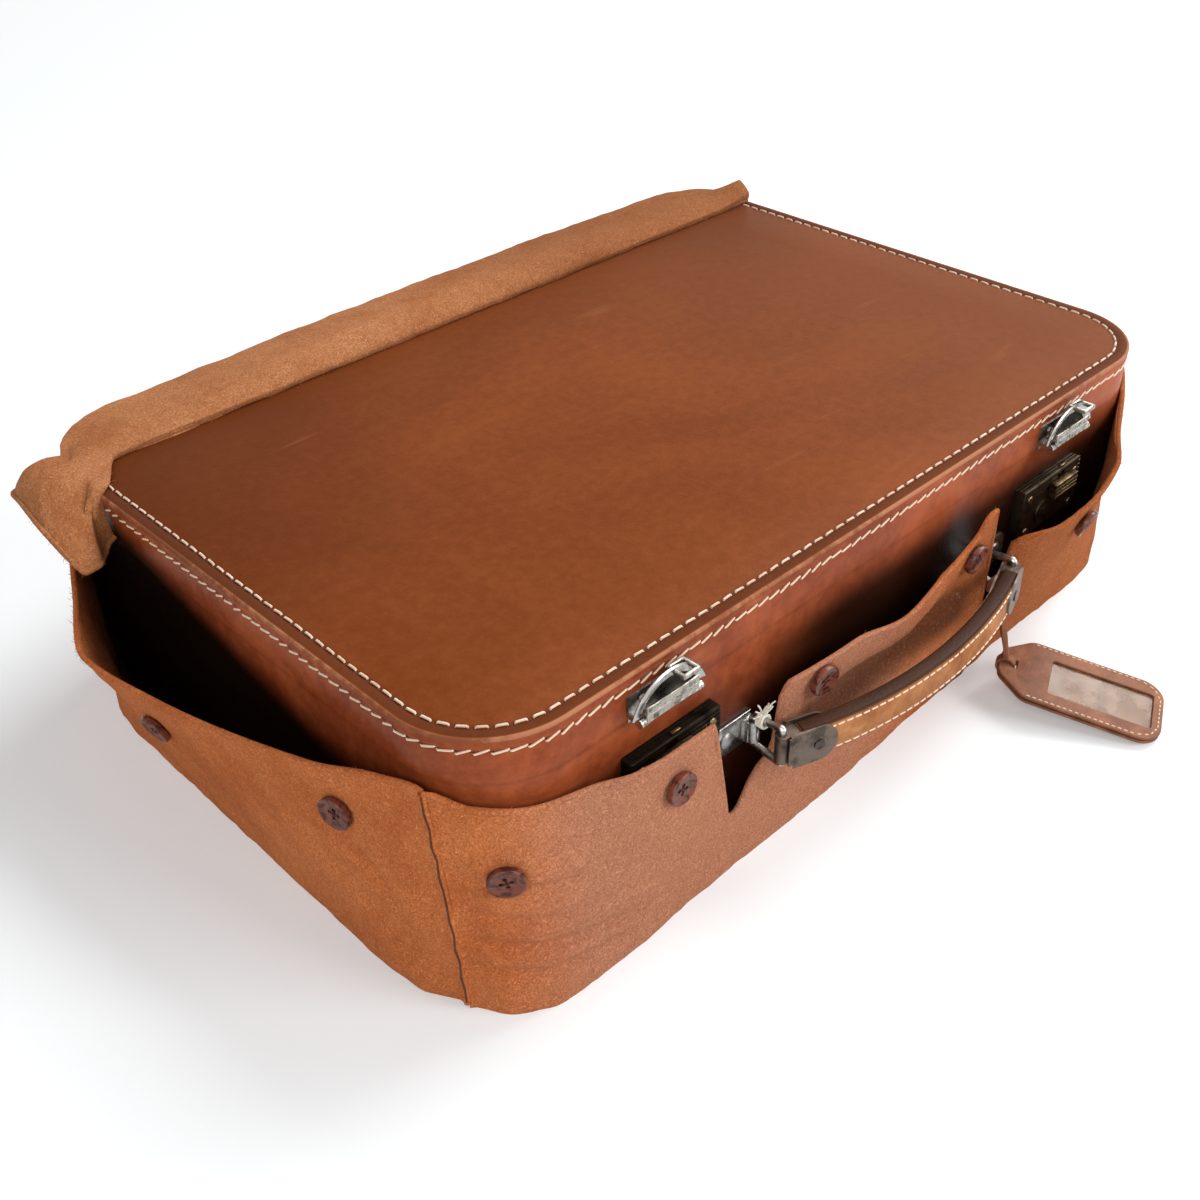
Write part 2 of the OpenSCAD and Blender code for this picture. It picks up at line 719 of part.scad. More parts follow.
// Front wall stations: place along X, reach from the case at the floor and at the rim,
// and the rim's depth below the lid's top. The deep ones are the two slits for the handle.
front_stations = [
    [-corner_x, -13, -26, 25], [-hl + 6, 1, -12, 29], [-hl + 26, cover_gap - 1, 2, 33],
    [-hl + 51, cover_gap, 8, 35], [-lock_x - 30, cover_gap, 12.5, 37],
    [-lock_x - 12, cover_gap - 1, 14, 37.5], [ring_l - 35, cover_gap - 2, 14, 37.5],
    [ring_l - 34, cover_gap - 2, 14, 41], [ring_l - 30.5, cover_gap - 2, 13, 56],
    [ring_l - 27, cover_gap - 2, 12, 71], [ring_l - 24, cover_gap - 2, 11.5, 86],
    [ring_l - 22, cover_gap - 2, 11, 96], [ring_l - 18, cover_gap - 2, 11, 99],
    [ring_l - 14, cover_gap - 2, 11, 97], [ring_l - 8, cover_gap - 2, 11, 88],
    [ring_l - 2, cover_gap - 2, 11, 82], [ring_l + 4, cover_gap - 2, 11, 79],
    [ring_l + 6, cover_gap - 2, 12, 72], [ring_l + 7.5, cover_gap - 2, 13.5, 48],
    [ring_l + 11, cover_gap - 2, 14.5, 42], [-40, cover_gap - 2.5, 17, 42],
    [0, cover_gap - 4.5, 16, 51], [30, cover_gap - 6.5, 16, 41], [50, cover_gap - 7, 16, 33],
    [ring_r - 17, cover_gap - 7, 15, 26], [ring_r - 11, cover_gap - 7, 14, 27],
    [ring_r - 8, cover_gap - 7, 12, 60], [ring_r - 5.5, cover_gap - 7, 10, 84],
    [ring_r, hug + 2, 9, 91], [ring_r + 5, hug + 2, 9, 86],
    [ring_r + 7.5, hug + 2, 11, 74], [ring_r + 10, hug + 2, 14, 55],
    [ring_r + 15, hug + 1, 18, 52], [ring_r + 32, hug, 26, 50], [lock_x, hug, 28, 46],
    [lock_x + 27, hug, 24, 40], [lock_x + 47, hug, 12, 33], [hl - 28, 0, 0, 24],
    [hl - 7, -15, -14, 18], [corner_x, -34, -24, 15]];

// Creases of the cloth near the front left seam, and the fold across the tongue
function front_crease(x, v) =
    2.2 * sin(360 * (x + hl) / 26 + 50 * v) * exp(-pow((x + hl - 26) / 22, 2)) * v * (1.2 - v)
    - 3.5 * exp(-pow((v - 0.72) / 0.13, 2)) * max(0, 1 - pow((x - handle_dx) / (ring_x - 14), 2));
function front_rim(x) = case_z1 - glide(x, front_stations, 3);
function front_reach(x, v) =
    let (a = glide(x, front_stations, 1), b = glide(x, front_stations, 2))
    a + (b - a) * pow(v, wall_curve) + front_crease(x, v);
function front_point(x, v, t) = [x, -(hw + front_reach(x, v) - t), v * front_rim(x)];

module cover_front() {
    cols = columns(front_stations, 10);
    color("#9c6238") sheet(
        [for (x = cols) [for (j = [0:rows]) front_point(x, j / rows, 0)]],
        [for (x = cols) [for (j = [0:rows]) front_point(x, j / rows, cloth_t)]]);
}

// Back wall stations: place along X, reach at the floor and at the rim.
// Its rim stays under the lid's swing.
back_stations = [
    [-corner_x, -27, -27], [-hl + 2, -14, -13], [-hl + 14, -2, -1], [-hl + 31, 5, 6],
    [-hl + 44, 7, 9], [-hl + 71, 9, 15], [-hl + 101, 10, 23], [-hl + 131, 11, 28], [0, 11, 29.5],
    [hl - 131, 11, 28], [hl - 101, 10, 23], [hl - 71, 9, 15], [hl - 44, 7, 9],
    [hl - 31, 5, 6], [hl - 14, -2, -1], [hl - 2, -14, -13], [corner_x, -27, -27]];
function back_reach(x, v) =
    let (a = glide(x, back_stations, 1), b = glide(x, back_stations, 2)) a + (b - a) * v;
function back_point(x, v, t) = [-x, hw + back_reach(-x, v) - t, v * back_rim_z];

module cover_back() {
    cols = columns(back_stations, 26);
    color("#94592f") sheet(
        [for (x = cols) [for (j = [0:rows]) back_point(x, j / rows, 0)]],
        [for (x = cols) [for (j = [0:rows]) back_point(x, j / rows, cloth_t)]]);
}

// Side wall stations: place from the front seam (0) to the back seam (1), reach at the floor
// and at the rim, and the rim's depth below the lid's top
left_stations = [
    [0, 3.2, 3.2, 25], [0.07, 12, 9, 26], [0.18, cover_gap + 1.5, 19, 32],
    [0.52, cover_gap + 1.5, 37, 43], [0.7, cover_gap + 1.5, 42, 46],
    [0.84, cover_gap + 1.5, 26, 38], [0.95, cover_gap - 1.5, 10, 27], [1, 3.2, 3.2, 27]];
right_stations = [
    [0, 3.2, 3.2, 15], [0.07, 6, 6, 16], [0.18, 8, 7, 20],
    [0.52, 8, 11, 27], [0.85, 8, 10, 24], [1, 3.2, 3.2, 27]];

// Point of a side wall; the side is -1 on the left and 1 on the right
function side_point(side, p, s, v, t) =
    let (y0 = -(hw + front_reach(side * corner_x, v) - cloth_t - soft_gap),
        y1 = hw + back_reach(side * corner_x, v) - cloth_t - soft_gap,
        a = glide(s, p, 1), b = glide(s, p, 2),
        crease = 1.5 * sin(360 * s * 5) * v * (1 - s) * s * 4)
    [side * (hl + a + (b - a) * pow(v, wall_curve) + crease - t), y0 + (y1 - y0) * s,
        v * (case_z1 - glide(s, p, 3))];

module side_wall(side, p) {
    up = columns(p, 0.045);
    cols = side > 0 ? up : [for (i = [len(up) - 1:-1:0]) up[i]];
    color("#9c6238") sheet(
        [for (s = cols) [for (j = [0:rows]) side_point(side, p, s, j / rows, 0)]],
        [for (s = cols) [for (j = [0:rows]) side_point(side, p, s, j / rows, cloth_t)]]);
}

module cover_left() { side_wall(-1, left_stations); }

module cover_right() { side_wall(1, right_stations); }

// Floor panel of the cover, cut to the foot of its walls
module cover_bottom() {
    t = cloth_t + soft_gap;
    end = corner_x - cloth_t - 2 * soft_gap;
    front = [for (x = columns(front_stations, 20)) if (abs(x) < end) front_point(x, 0, t)];
    back = [for (x = columns(back_stations, 60)) if (abs(x) < end) back_point(x, 0, t)];
    right = [for (k = [1:23]) side_point(1, right_stations, k / 24, 0, t)];
    left = [for (k = [23:-1:1]) side_point(-1, left_stations, k / 24, 0, t)];
    color("#8f572e") linear_extrude(cloth_t)
        polygon([for (p = concat(front, right, back, left)) [p[0], p[1]]]);
}

// Flap stations from its front edge over the roll to the back wall: share of the way,
// place along Y from the lid's back edge, height over the lid
flap_over = 0.66;
flap_stations = [
    [0, -flap_cover, 0.4], [0.07, -flap_cover - 1, 3], [0.18, -flap_cover + 3, flap_rise - 3.5],
    [0.32, -flap_cover + 13, flap_rise], [0.5, -flap_cover + 28, flap_rise - 2],
    [flap_over, 2.5, flap_rise - 6], [0.8, 11.5, -3], [0.92, 22, -14], [1, 29.5, -21]];
flap_fold = 3;
flap_end = hl - 2;

function ease(u) = let (t = min(1, max(0, u))) t * t * (3 - 2 * t);
// How far the lid's rounded corner draws its back edge in
function corner_in(x) =
    let (d = max(0, abs(x) - hl + corner_r)) corner_r - sqrt(max(0, corner_r * corner_r - d * d));
// The roll sinks towards its left end, and narrows and lifts towards its right end
function flap_scale(x) =
    1 - 0.55 * ease((-x - hl * 0.35) / (hl * 0.5)) - 0.4 * ease((x - hl * 0.35) / (hl * 0.4));
function flap_lift(x, v) = 6 * exp(-pow((x - flap_end) / 14, 2)) * sin(180 * min(1, v * 2));

// Place along Y and height over the floor of the flap's outer face
function flap_y(x, v) =
    let (y = glide(v, flap_stations, 1), c = corner_in(x), over = glide(flap_over, flap_stations, 1))
    hw + (v < flap_over
        ? y - c * ease((v - 0.2) / (flap_over - 0.2))
        : over - c + (y - over) * (back_reach(x, 1) + 1 + c - over) / (29.5 - over));
function flap_z(x, v) =
    let (h = glide(v, flap_stations, 2)) case_z1 + (h <= 0.4 ? h : max(min(h, 3.6), h * flap_scale(x)))
        + flap_lift(x, v);
function flap_face(x, v) = [x, flap_y(x, v), flap_z(x, v)];
function flap_in(x, v) =
    let (a = flap_face(x, max(0, v - 0.02)), b = flap_face(x, min(1, v + 0.02)), d = (b - a) / norm(b - a))
    [0, d[2], -d[1]];
function flap_point(x, v, t) = flap_face(x, v) + t * flap_in(x, v);

// Edge of the corner that hangs over the cover's left wall: share of the way, then its place
ear_stations = [
    [0, -hl - 15, hw - 36, split_z - flap_corner_drop], [0.2, -hl - 14.5, hw - 32, split_z - 27],
    [0.4, -hl - 15.5, hw - 24, split_z - 16], [0.6, -hl - 17.5, hw - 15, split_z - 3],
    [0.75, -hl - 18.5, hw - 10, split_z + 4], [0.88, -hl - 12, hw - 7, split_z + 4],
    [1, -hl - 7, hw - 9, split_z + 1.5]];
// Point of the hanging corner, from the lid's edge (0) to its own edge (1)
function ear_point(u, v, t) =
    let (a = flap_face(-flap_end, v), b = a + [-17, 0, 6],
        c = [glide(v, ear_stations, 1), glide(v, ear_stations, 2), glide(v, ear_stations, 3)],
        m = ease(u * 1.6), d = (1 - m) * flap_in(-flap_end, v) + m * [0.8, -0.25, -0.5])
    (1 - u) * (1 - u) * a + 2 * u * (1 - u) * b + u * u * c + t * d / norm(d);

module cover_flap() {
    down = [0, 0.04, 0.1, 0.18, 0.28, 0.4, 0.52, 0.64, 0.76, 0.88, 1];
    // Close steps round the lid's corners
    bend = [0, 3, 7, 12, 18, 26, 36];
    steps = (2 * flap_end - 2 * bend[6]) / 16;
    places = concat(
        [for (d = bend) -flap_end + d],
        [for (k = [1:15]) -flap_end + bend[6] + steps * k],
        [for (k = [6:-1:0]) flap_end - bend[k]]);
    function skin(t) = concat(
        [for (k = [10:-1:1]) [for (v = down) ear_point(k / 10, v, t)]],
        [for (x = places) [for (v = down) flap_point(x, v, t)]]);
    color("#a56b40") sheet(skin(0), skin(flap_fold));
}

// The rest of the flap hangs down behind the back wall in soft folds
module cover_flap_drop() {
    x0 = -hl * 0.65;
    x1 = hl * 0.8;
    n = 20;
    function drop_point(i, v, t) =
        let (x = x1 + (x0 - x1) * i / n)
        [x, hw + back_reach(x, 1) + soft_gap + cloth_t + (6 + 2.5 * sin(360 * x / 92)) * (1 - v) - t,
            0.6 + v * (back_rim_z + 1.25)];
    color("#a56b40") sheet(
        [for (i = [0:n]) [for (j = [0:rows]) drop_point(i, j / rows, 0)]],
        [for (i = [0:n]) [for (j = [0:rows]) drop_point(i, j / rows, cloth_t)]]);
}

// Four-hole button with a raised rim, its back at the origin and its face along +Z
module button() {
    difference() {
        cylinder(r = button_r, h = 3);
        translate([0, 0, 2.2]) cylinder(r = button_r - 1.6, h = 2);
        for (x = [-1, 1], y = [-1, 1])
            translate([1.3 * x, 1.3 * y, -1]) cylinder(r = 0.7, h = 5, $fn = 16);
    }
}

// Buttons: place along the wall and height
front_buttons = [[-hl + 12, 71], [-lock_x - 10, 76], [-60, 82], [50, 88], [lock_x + 4, 70]];
side_buttons = [[0.15, 81], [0.59, 60]];

function front_at(x, z) = front_point(x, z / front_rim(x), 0);

module cover_buttons() {
    color("#5c3322") {
        for (b = front_buttons) {
            v = b[1] / front_rim(b[0]);
            p = front_point(b[0], v, 0);
            dx = front_at(b[0] + 1, b[1]) - front_at(b[0] - 1, b[1]);
            dz = front_point(b[0], v + 0.02, 0) - front_point(b[0], v - 0.02, 0);
            n = cross(dx, dz);
            seat_button(p, n / norm(n));
        }
        for (side = [-1, 1], b = side_buttons) {
            t = side < 0 ? left_stations : right_stations;
            v = b[1] / (case_z1 - glide(b[0], t, 3));
            p = side_point(side, t, b[0], v, 0);
            dy = side_point(side, t, b[0] + 0.01, v, 0) - side_point(side, t, b[0] - 0.01, v, 0);
            dz = side_point(side, t, b[0], v + 0.02, 0) - side_point(side, t, b[0], v - 0.02, 0);
            n = side * cross(dy, dz);
            seat_button(p, n / norm(n));
        }
    }
}

// A button standing just off the cloth on its thread
module seat_button(p, n) {
    translate(p + 0.75 * n) rotate([0, acos(n[2]), atan2(n[1], n[0])]) button();
}

base_leather();
base_board();
base_lining();
base_lip();
divider_long();
dividers_cross();
back_hinge_base_leaves();
back_hinge_pins();
back_hinge_base_screws();
lock_body_left();
lock_body_right();
lock_slide_left();
lock_slide_right();
lock_screws();
handle_bracket_left();
handle_bracket_right();
handle_bracket_rivets();
handle_ring_left();
handle_ring_right();
string_tuft();
handle_grip();
handle_ferrule_left();
handle_ferrule_right();
handle_ferrule_rivets();
tag_strap();
tag_back();
tag_front();
tag_card();
tag_window();
lid_top_leather();
lid_side_leather();
lid_board();
lid_lining();
lid_pocket_band();
back_hinge_lid_leaves();
back_hinge_lid_screws();
hasp_bracket_left();
hasp_bracket_right();
hasp_bracket_rivets();
hasp_pins();
hasp_left();
hasp_right();
cover_bottom();
cover_front();
cover_left();
cover_right();
cover_back();
cover_flap();
cover_flap_drop();
cover_buttons();
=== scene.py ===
"""Toiletry case in hard leather, standing flat in its open cloth cover."""
import math
import random

import bmesh
import bpy
from mathutils import Matrix, Vector, noise


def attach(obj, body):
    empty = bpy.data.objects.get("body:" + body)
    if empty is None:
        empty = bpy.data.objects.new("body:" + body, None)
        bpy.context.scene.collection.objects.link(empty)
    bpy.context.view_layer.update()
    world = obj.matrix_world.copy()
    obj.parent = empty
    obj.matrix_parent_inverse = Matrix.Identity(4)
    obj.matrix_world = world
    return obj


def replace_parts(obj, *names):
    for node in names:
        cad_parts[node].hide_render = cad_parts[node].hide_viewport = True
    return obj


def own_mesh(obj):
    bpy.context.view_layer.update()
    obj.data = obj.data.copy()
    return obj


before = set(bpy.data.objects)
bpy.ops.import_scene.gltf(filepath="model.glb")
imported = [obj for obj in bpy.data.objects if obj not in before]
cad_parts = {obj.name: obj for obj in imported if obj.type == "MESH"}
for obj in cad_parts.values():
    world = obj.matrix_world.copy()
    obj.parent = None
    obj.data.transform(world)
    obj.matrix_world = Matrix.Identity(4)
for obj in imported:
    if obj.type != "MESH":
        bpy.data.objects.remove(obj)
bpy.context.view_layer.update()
mm = 0.001


# The view
# The case is seen from above its front left corner, turned a little to the left, as in the photograph.
lens = bpy.data.cameras.new("camera")
lens.sensor_width = 36
lens.lens = 42.16
camera = bpy.data.objects.new("camera", lens)
camera.matrix_world = Matrix((
    (0.7194, 0.4240, -0.5502, -0.4337),
    (-0.6942, 0.4110, -0.5909, -0.4446),
    (-0.0244, 0.8070, 0.5900, 0.4548),
    (0, 0, 0, 1)))
bpy.context.collection.objects.link(camera)
bpy.context.scene.camera = camera


# Floor, sky and lamps
# A white table under a wide soft light from the right and behind, with a weaker one from the left,
# so that the soft shadow falls to the left and in front.
def node(tree, kind, settings=None, wires=None):
    """Adds a node, sets its fields, and sets or wires its inputs."""
    made = tree.nodes.new("ShaderNode" + kind)
    for key, value in (settings or {}).items():
        setattr(made, key, value)
    for key, value in (wires or {}).items():
        if isinstance(value, bpy.types.NodeSocket):
            tree.links.new(value, made.inputs[key])
        else:
            made.inputs[key].default_value = value
    return made


def calc(tree, how, *values):
    """The result of one sum on up to three values."""
    return node(tree, "Math", {"operation": how}, dict(enumerate(values))).outputs[0]


def times(tree, first, second):
    return calc(tree, "MULTIPLY", first, second)


def span(tree, value, low, high, first=0.0, second=1.0):
    """A value carried from one range to another and held there."""
    return node(tree, "MapRange", {"interpolation_type": "SMOOTHSTEP"}, {
        "Value": value, "From Min": low, "From Max": high, "To Min": first, "To Max": second}).outputs[0]


white = (1, 1, 1, 1)
floor_paint = bpy.data.materials.new("white_table")
floor_paint.use_nodes = True
tree = floor_paint.node_tree
tree.nodes.clear()
seen = node(tree, "LightPath").outputs["Is Camera Ray"]
matt = node(tree, "BsdfDiffuse", None, {"Color": (0.77, 0.8, 0.812, 1)})
lift = node(tree, "Emission", None, {"Color": white, "Strength": times(tree, seen, 0.2)})
both = node(tree, "AddShader", None, {0: matt.outputs[0], 1: lift.outputs[0]})
place = node(tree, "TexCoord").outputs["Object"]
away = node(tree, "VectorMath", {"operation": "LENGTH"}, {0: place}).outputs["Value"]
paper = node(tree, "Emission", None, {"Color": white})
blend = node(tree, "MixShader", None, {
    0: times(tree, seen, span(tree, away, 0.9, 2.2)), 1: both.outputs[0], 2: paper.outputs[0]})
node(tree, "OutputMaterial", None, {"Surface": blend.outputs[0]})

bpy.ops.object.select_all(action="DESELECT")
bpy.ops.mesh.primitive_plane_add(size=16)
table = bpy.context.active_object
table.name = "table"
table.data.materials.append(floor_paint)

sky = bpy.data.worlds.new("sky")
sky.use_nodes = True
tree = sky.node_tree
tree.nodes.clear()
rays = node(tree, "LightPath").outputs
shown = calc(tree, "MAXIMUM", rays["Is Glossy Ray"], rays["Is Transmission Ray"])
shown = calc(tree, "MAXIMUM", rays["Is Camera Ray"], shown)
level = calc(tree, "MULTIPLY_ADD", shown, 0.76, 0.24)
glow = node(tree, "Background", None, {"Color": white, "Strength": level})
node(tree, "OutputWorld", None, {"Surface": glow.outputs[0]})
bpy.context.scene.world = sky
bpy.context.scene.view_settings.view_transform = "Standard"

# Square lamps that face the middle of the case: place, size and power
for name, spot, size, power in (("lamp_right", (2.4, 0.14, 2.6), 2.2, 112),
                                ("lamp_left", (-1.6, -1.0, 1.4), 1.4, 23),
                                ("lamp_front", (0.9, -1.9, 1.2), 1.2, 30)):
    bulb = bpy.data.lights.new(name, "AREA")
    bulb.size = size
    bulb.energy = power
    lamp = bpy.data.objects.new(name, bulb)
    lamp.location = spot
    lamp.rotation_euler = (Vector((0, 0, 0.06)) - Vector(spot)).to_track_quat("-Z", "Y").to_euler()
    bpy.context.collection.objects.link(lamp)


# Lid leather
# A flat top panel and a turned side band of saddle leather, hand stitched to the board beneath it.
# The top panel overhangs the side by half a millimetre, and its edge is burnished. Sizes are in mm.
case_l, case_w, corner_r = 462, 322, 44
case_top, split_z = 131, 109
case_front = -case_w / 2
overhang = 0.5


def hue(red, green, blue):
    """A colour as read off a swatch, 0 to 255, for a shader."""
    def straight(part):
        part /= 255
        return part / 12.92 if part <= 0.04045 else ((part + 0.055) / 1.055) ** 2.4
    return (straight(red), straight(green), straight(blue), 1)


def tint(tree, share, first, second):
    """Two colours mixed by a share."""
    return node(tree, "Mix", {"data_type": "RGBA"}, {0: share, 6: first, 7: second}).outputs[2]


def mottle(tree, place, scale, detail=2.0, harsh=0.5, swirl=0.0):
    """Small clouds, as a value."""
    made = node(tree, "TexNoise", None, {
        "Vector": place, "Scale": scale, "Detail": detail, "Roughness": harsh, "Distortion": swirl})
    return made.outputs[0]


def new_effect(name, gives, **takes):
    """An effect for several materials, which takes a place and values, and gives values."""
    tree = bpy.data.node_groups.new(name, "ShaderNodeTree")
    tree.interface.new_socket("Place", in_out="INPUT", socket_type="NodeSocketVector")
    for label, value in takes.items():
        tree.interface.new_socket(label, in_out="INPUT", socket_type="NodeSocketFloat").default_value = value
    for label in gives:
        tree.interface.new_socket(label, in_out="OUTPUT", socket_type="NodeSocketFloat")
    return tree, tree.nodes.new("NodeGroupInput").outputs, tree.nodes.new("NodeGroupOutput").inputs


def effect(tree, group, place, **wires):
    """Places an effect in a material and gives its results."""
    return node(tree, "Group", {"node_tree": group}, {"Place": place, **wires}).outputs


def new_finish(name, **plain):
    """A material with its shader and the place on the object that its patterns read."""
    finish = bpy.data.materials.new(name)
    finish.use_nodes = True
    tree = finish.node_tree
    shader = tree.nodes["Principled BSDF"]
    for key, value in plain.items():
        shader.inputs[key.replace("_", " ")].default_value = value
    return finish, tree, shader, node(tree, "TexCoord").outputs["Object"]


def lay(tree, shader, colour, height=None, depth=0.0, rough=None):
    """Gives a material its colour and, where it has them, its raised pattern and its roughness."""
    tree.links.new(colour, shader.inputs["Base Color"])
    if height is not None:
        bump = node(tree, "Bump", None, {"Height": height, "Distance": depth, "Strength": 1.0})
        tree.links.new(bump.outputs[0], shader.inputs["Normal"])
    if rough is not None:
        tree.links.new(rough, shader.inputs["Roughness"])


def stained(tree, place, colour, *stains):
    """A colour under stains, each with its share, its colour and the masks or fades that hold it in."""
    ways = node(tree, "SeparateXYZ", None, {0: place}).outputs
    for share, stain, *masks in stains:
        for mask in masks:
            if isinstance(mask, tuple):
                way, low, high = mask
                mask = span(tree, ways[way] if isinstance(way, str) else way, low, high)
            share = times(tree, mask, share)
        colour = tint(tree, share, colour, stain)
    return colour


# Grain of smooth leather: fine pores, soft clouds of colour and a few pale scuffs
grain, given, result = new_effect("leather_grain", ("Tone", "Scuff", "Height", "Dullness"),
                                  Clouds=9.0, Scuffs=0.5)
place = given["Place"]
cloud = mottle(grain, place, given["Clouds"], 5.0, 0.55, 0.6)
fine = mottle(grain, place, 160.0, 4.0, 0.7)
pore = node(grain, "TexVoronoi", {"feature": "F1"}, {"Vector": place, "Scale": 900.0}).outputs["Distance"]
long_way = node(grain, "Mapping", None, {
    "Vector": place, "Rotation": (0, 0, 0.5), "Scale": (12.0, 90.0, 60.0)})
streak = mottle(grain, long_way.outputs[0], 1.0, 3.0)
scuff = times(grain, span(grain, streak, 0.66, 0.8), given["Scuffs"])
tone = calc(grain, "MULTIPLY_ADD", fine, 0.35, times(grain, cloud, 0.65))
for label, value in (("Tone", span(grain, tone, 0.34, 0.66)), ("Scuff", scuff),
                     ("Height", calc(grain, "MULTIPLY_ADD", pore, 0.5, times(grain, fine, 0.8))),
                     ("Dullness", calc(grain, "MULTIPLY_ADD", cloud, 0.3, times(grain, scuff, 0.3)))):
    grain.links.new(value, result[label])

# Distance in from the case's outline, for what the hand and the edge iron leave along it
margin, given, result = new_effect("outline_margin", ("Distance",))
parts = node(margin, "SeparateXYZ", None, {0: given["Place"]}).outputs
over = [calc(margin, "SUBTRACT", calc(margin, "ABSOLUTE", part), (size / 2 - corner_r) * mm)
        for part, size in ((parts["X"], case_l), (parts["Y"], case_w))]
squares = [calc(margin, "POWER", calc(margin, "MAXIMUM", value, 0.0), 2.0) for value in over]
past = calc(margin, "SQRT", calc(margin, "ADD", *squares))
inner = calc(margin, "MINIMUM", calc(margin, "MAXIMUM", *over), 0.0)
margin.links.new(calc(margin, "SUBTRACT", corner_r * mm, calc(margin, "ADD", past, inner)), result[0])


def new_leather(name, shine, clouds, scuffs, dull, first, second):
    """Grained leather between two colours, which are given back for its stains."""
    finish, tree, shader, place = new_finish(name, Specular_IOR_Level=shine)
    skin = effect(tree, grain, place, Clouds=clouds, Scuffs=scuffs)
    tree.links.new(calc(tree, "ADD", skin["Dullness"], dull), shader.inputs["Roughness"])
    return finish, tree, shader, place, skin, tint(tree, skin["Tone"], first, second)


top_hide, tree, shader, place, skin, brown = new_leather(
    "lid_top_hide", 0.03, 6.0, 0.5, 0.34, hue(114, 56, 24), hue(136, 72, 36))
edge = effect(tree, margin, place)[0]
brown = stained(
    tree, place, brown,
    # paler to the right as a painted sheen, darker to the left and towards the back, with pale scuffs
    (0.5, hue(110, 66, 42), ("X", -0.05, 0.23)),
    (0.45, hue(76, 34, 12), ("X", -0.04, -0.2), ("Y", -0.1, 0.03)),
    (0.6, hue(84, 42, 19), ("Y", 0.02, 0.16)),
    (0.5, hue(176, 118, 80), skin["Scuff"]),
    # the channel of the stitches, the dark border and the pale worn rim, whose paleness is partly a painted
    # highlight
    (0.45, hue(84, 40, 18), (edge, 0.0042, 0.0054), (edge, 0.0082, 0.0066)),
    (0.6, hue(78, 40, 22), (edge, 0.0005, 0.0014), (edge, 0.006, 0.0046)),
    (1, hue(186, 128, 96), (edge, 0.0008, 0.0004), span(tree, skin["Tone"], 0.2, 0.7, 0.2, 0.7)))
swell = mottle(tree, place, 14.0)
lay(tree, shader, brown, calc(tree, "MULTIPLY_ADD", swell, 6.0, skin["Height"]), 0.00012)

side_hide, tree, shader, place, skin, red = new_leather(
    "side_hide", 0.15, 16.0, 0.7, 0.18, hue(120, 52, 25), hue(164, 82, 45))
ways = node(tree, "SeparateXYZ", None, {0: place}).outputs
# Height above a line that rises towards the back: the edge of the painted shadow that the cloth casts on the
# case's left side
cloth_shadow_edge = calc(tree, "MULTIPLY_ADD", ways["Y"], -0.225, ways["Z"])
red = stained(
    tree, place, red,
    (0.5, hue(190, 112, 72), skin["Scuff"]),
    # painted shade low down, a painted shadow of the cloth inside the left wall, painted shade behind the
    # handle, and the line of the opening
    (0.92, hue(34, 11, 5), ("Z", 0.103, 0.066)),
    (1, hue(10, 4, 2), (cloth_shadow_edge, 0.112, 0.09), ("X", -0.2, -0.226)),
    (0.93, hue(14, 5, 3), ("X", -0.11, -0.03), ("Z", 0.113, 0.09), ("Y", -0.15, -0.158)),
    (0.2, hue(70, 28, 12), ("Z", 0.1075, 0.1088), ("Z", 0.1105, 0.1092)))
lay(tree, shader, red, skin["Height"], 0.0001)


def let_go():
    """Ends any shaping and leaves nothing selected."""
    if bpy.context.mode != "OBJECT":
        bpy.ops.object.mode_set(mode="OBJECT")
    bpy.ops.object.select_all(action="DESELECT")


def hold(piece):
    """Makes a piece the only one selected."""
    let_go()
    bpy.context.view_layer.objects.active = piece
    piece.select_set(True)


def begin(name):
    """Names a new primitive, fixes its place in its mesh and opens it for shaping."""
    piece = bpy.context.active_object
    piece.name = piece.data.name = name
    bpy.ops.object.transform_apply(location=True, rotation=True, scale=True)
    bpy.ops.object.mode_set(mode="EDIT")
    return piece


def block(name, low, high):
    """Opens a new block that fills a box given by its two corners."""
    let_go()
    low, high = Vector(low) * mm, Vector(high) * mm
    bpy.ops.mesh.primitive_cube_add(size=1, location=(low + high) / 2, scale=high - low)
    return begin(name)


def pick(kind, test):
    """Selects the faces, edges or points whose place and direction pass the test."""
    bpy.ops.mesh.select_mode(type=kind)
    bpy.ops.mesh.select_all(action="DESELECT")
    mesh = bpy.context.edit_object.data
    shape = bmesh.from_edit_mesh(mesh)
    if kind == "FACE":
        items = [(face, face.calc_center_median(), face.normal) for face in shape.faces]
    elif kind == "EDGE":
        ends = [(edge, edge.verts[0].co, edge.verts[1].co) for edge in shape.edges]
        items = [(edge, (first + last) / 2, (last - first).normalized()) for edge, first, last in ends]
    else:
        items = [(point, point.co, point.normal) for point in shape.verts]
    for item, where, way in items:
        if test(where / mm, way):
            item.select_set(True)
    shape.select_flush_mode()
    bmesh.update_edit_mesh(mesh)


def cut_across(place, normal):
    """Cuts the whole open mesh by a plane, keeping both sides."""
    bpy.ops.mesh.select_all(action="SELECT")
    bpy.ops.mesh.bisect(plane_co=Vector(place) * mm, plane_no=normal)


def step_in(way, *steps):
    """Insets the chosen face by each rim and moves it by each depth along a way."""
    for rim, depth in steps:
        bpy.ops.mesh.inset(thickness=rim * mm)
        bpy.ops.transform.translate(value=Vector(way) * depth * mm)


def close(piece, finish, body, smooth=35):
    """Ends the shaping: smooth faces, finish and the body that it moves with."""
    hold(piece)
    bpy.ops.object.shade_smooth_by_angle(angle=math.radians(smooth))
    piece.data.materials.clear()
    piece.data.materials.append(finish)
    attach(piece, body)
    piece.select_set(False)
    return piece


def modify(piece, kind, **fields):
    """Adds a modifier to a piece and applies it."""
    hold(piece)
    work = piece.modifiers.new(kind.lower(), kind)
    for key, value in fields.items():
        setattr(work, key, value)
    bpy.ops.object.modifier_apply(modifier=work.name)


def thicken(piece, thickness, offset=-1):
    modify(piece, "SOLIDIFY", thickness=thickness * mm, offset=offset)


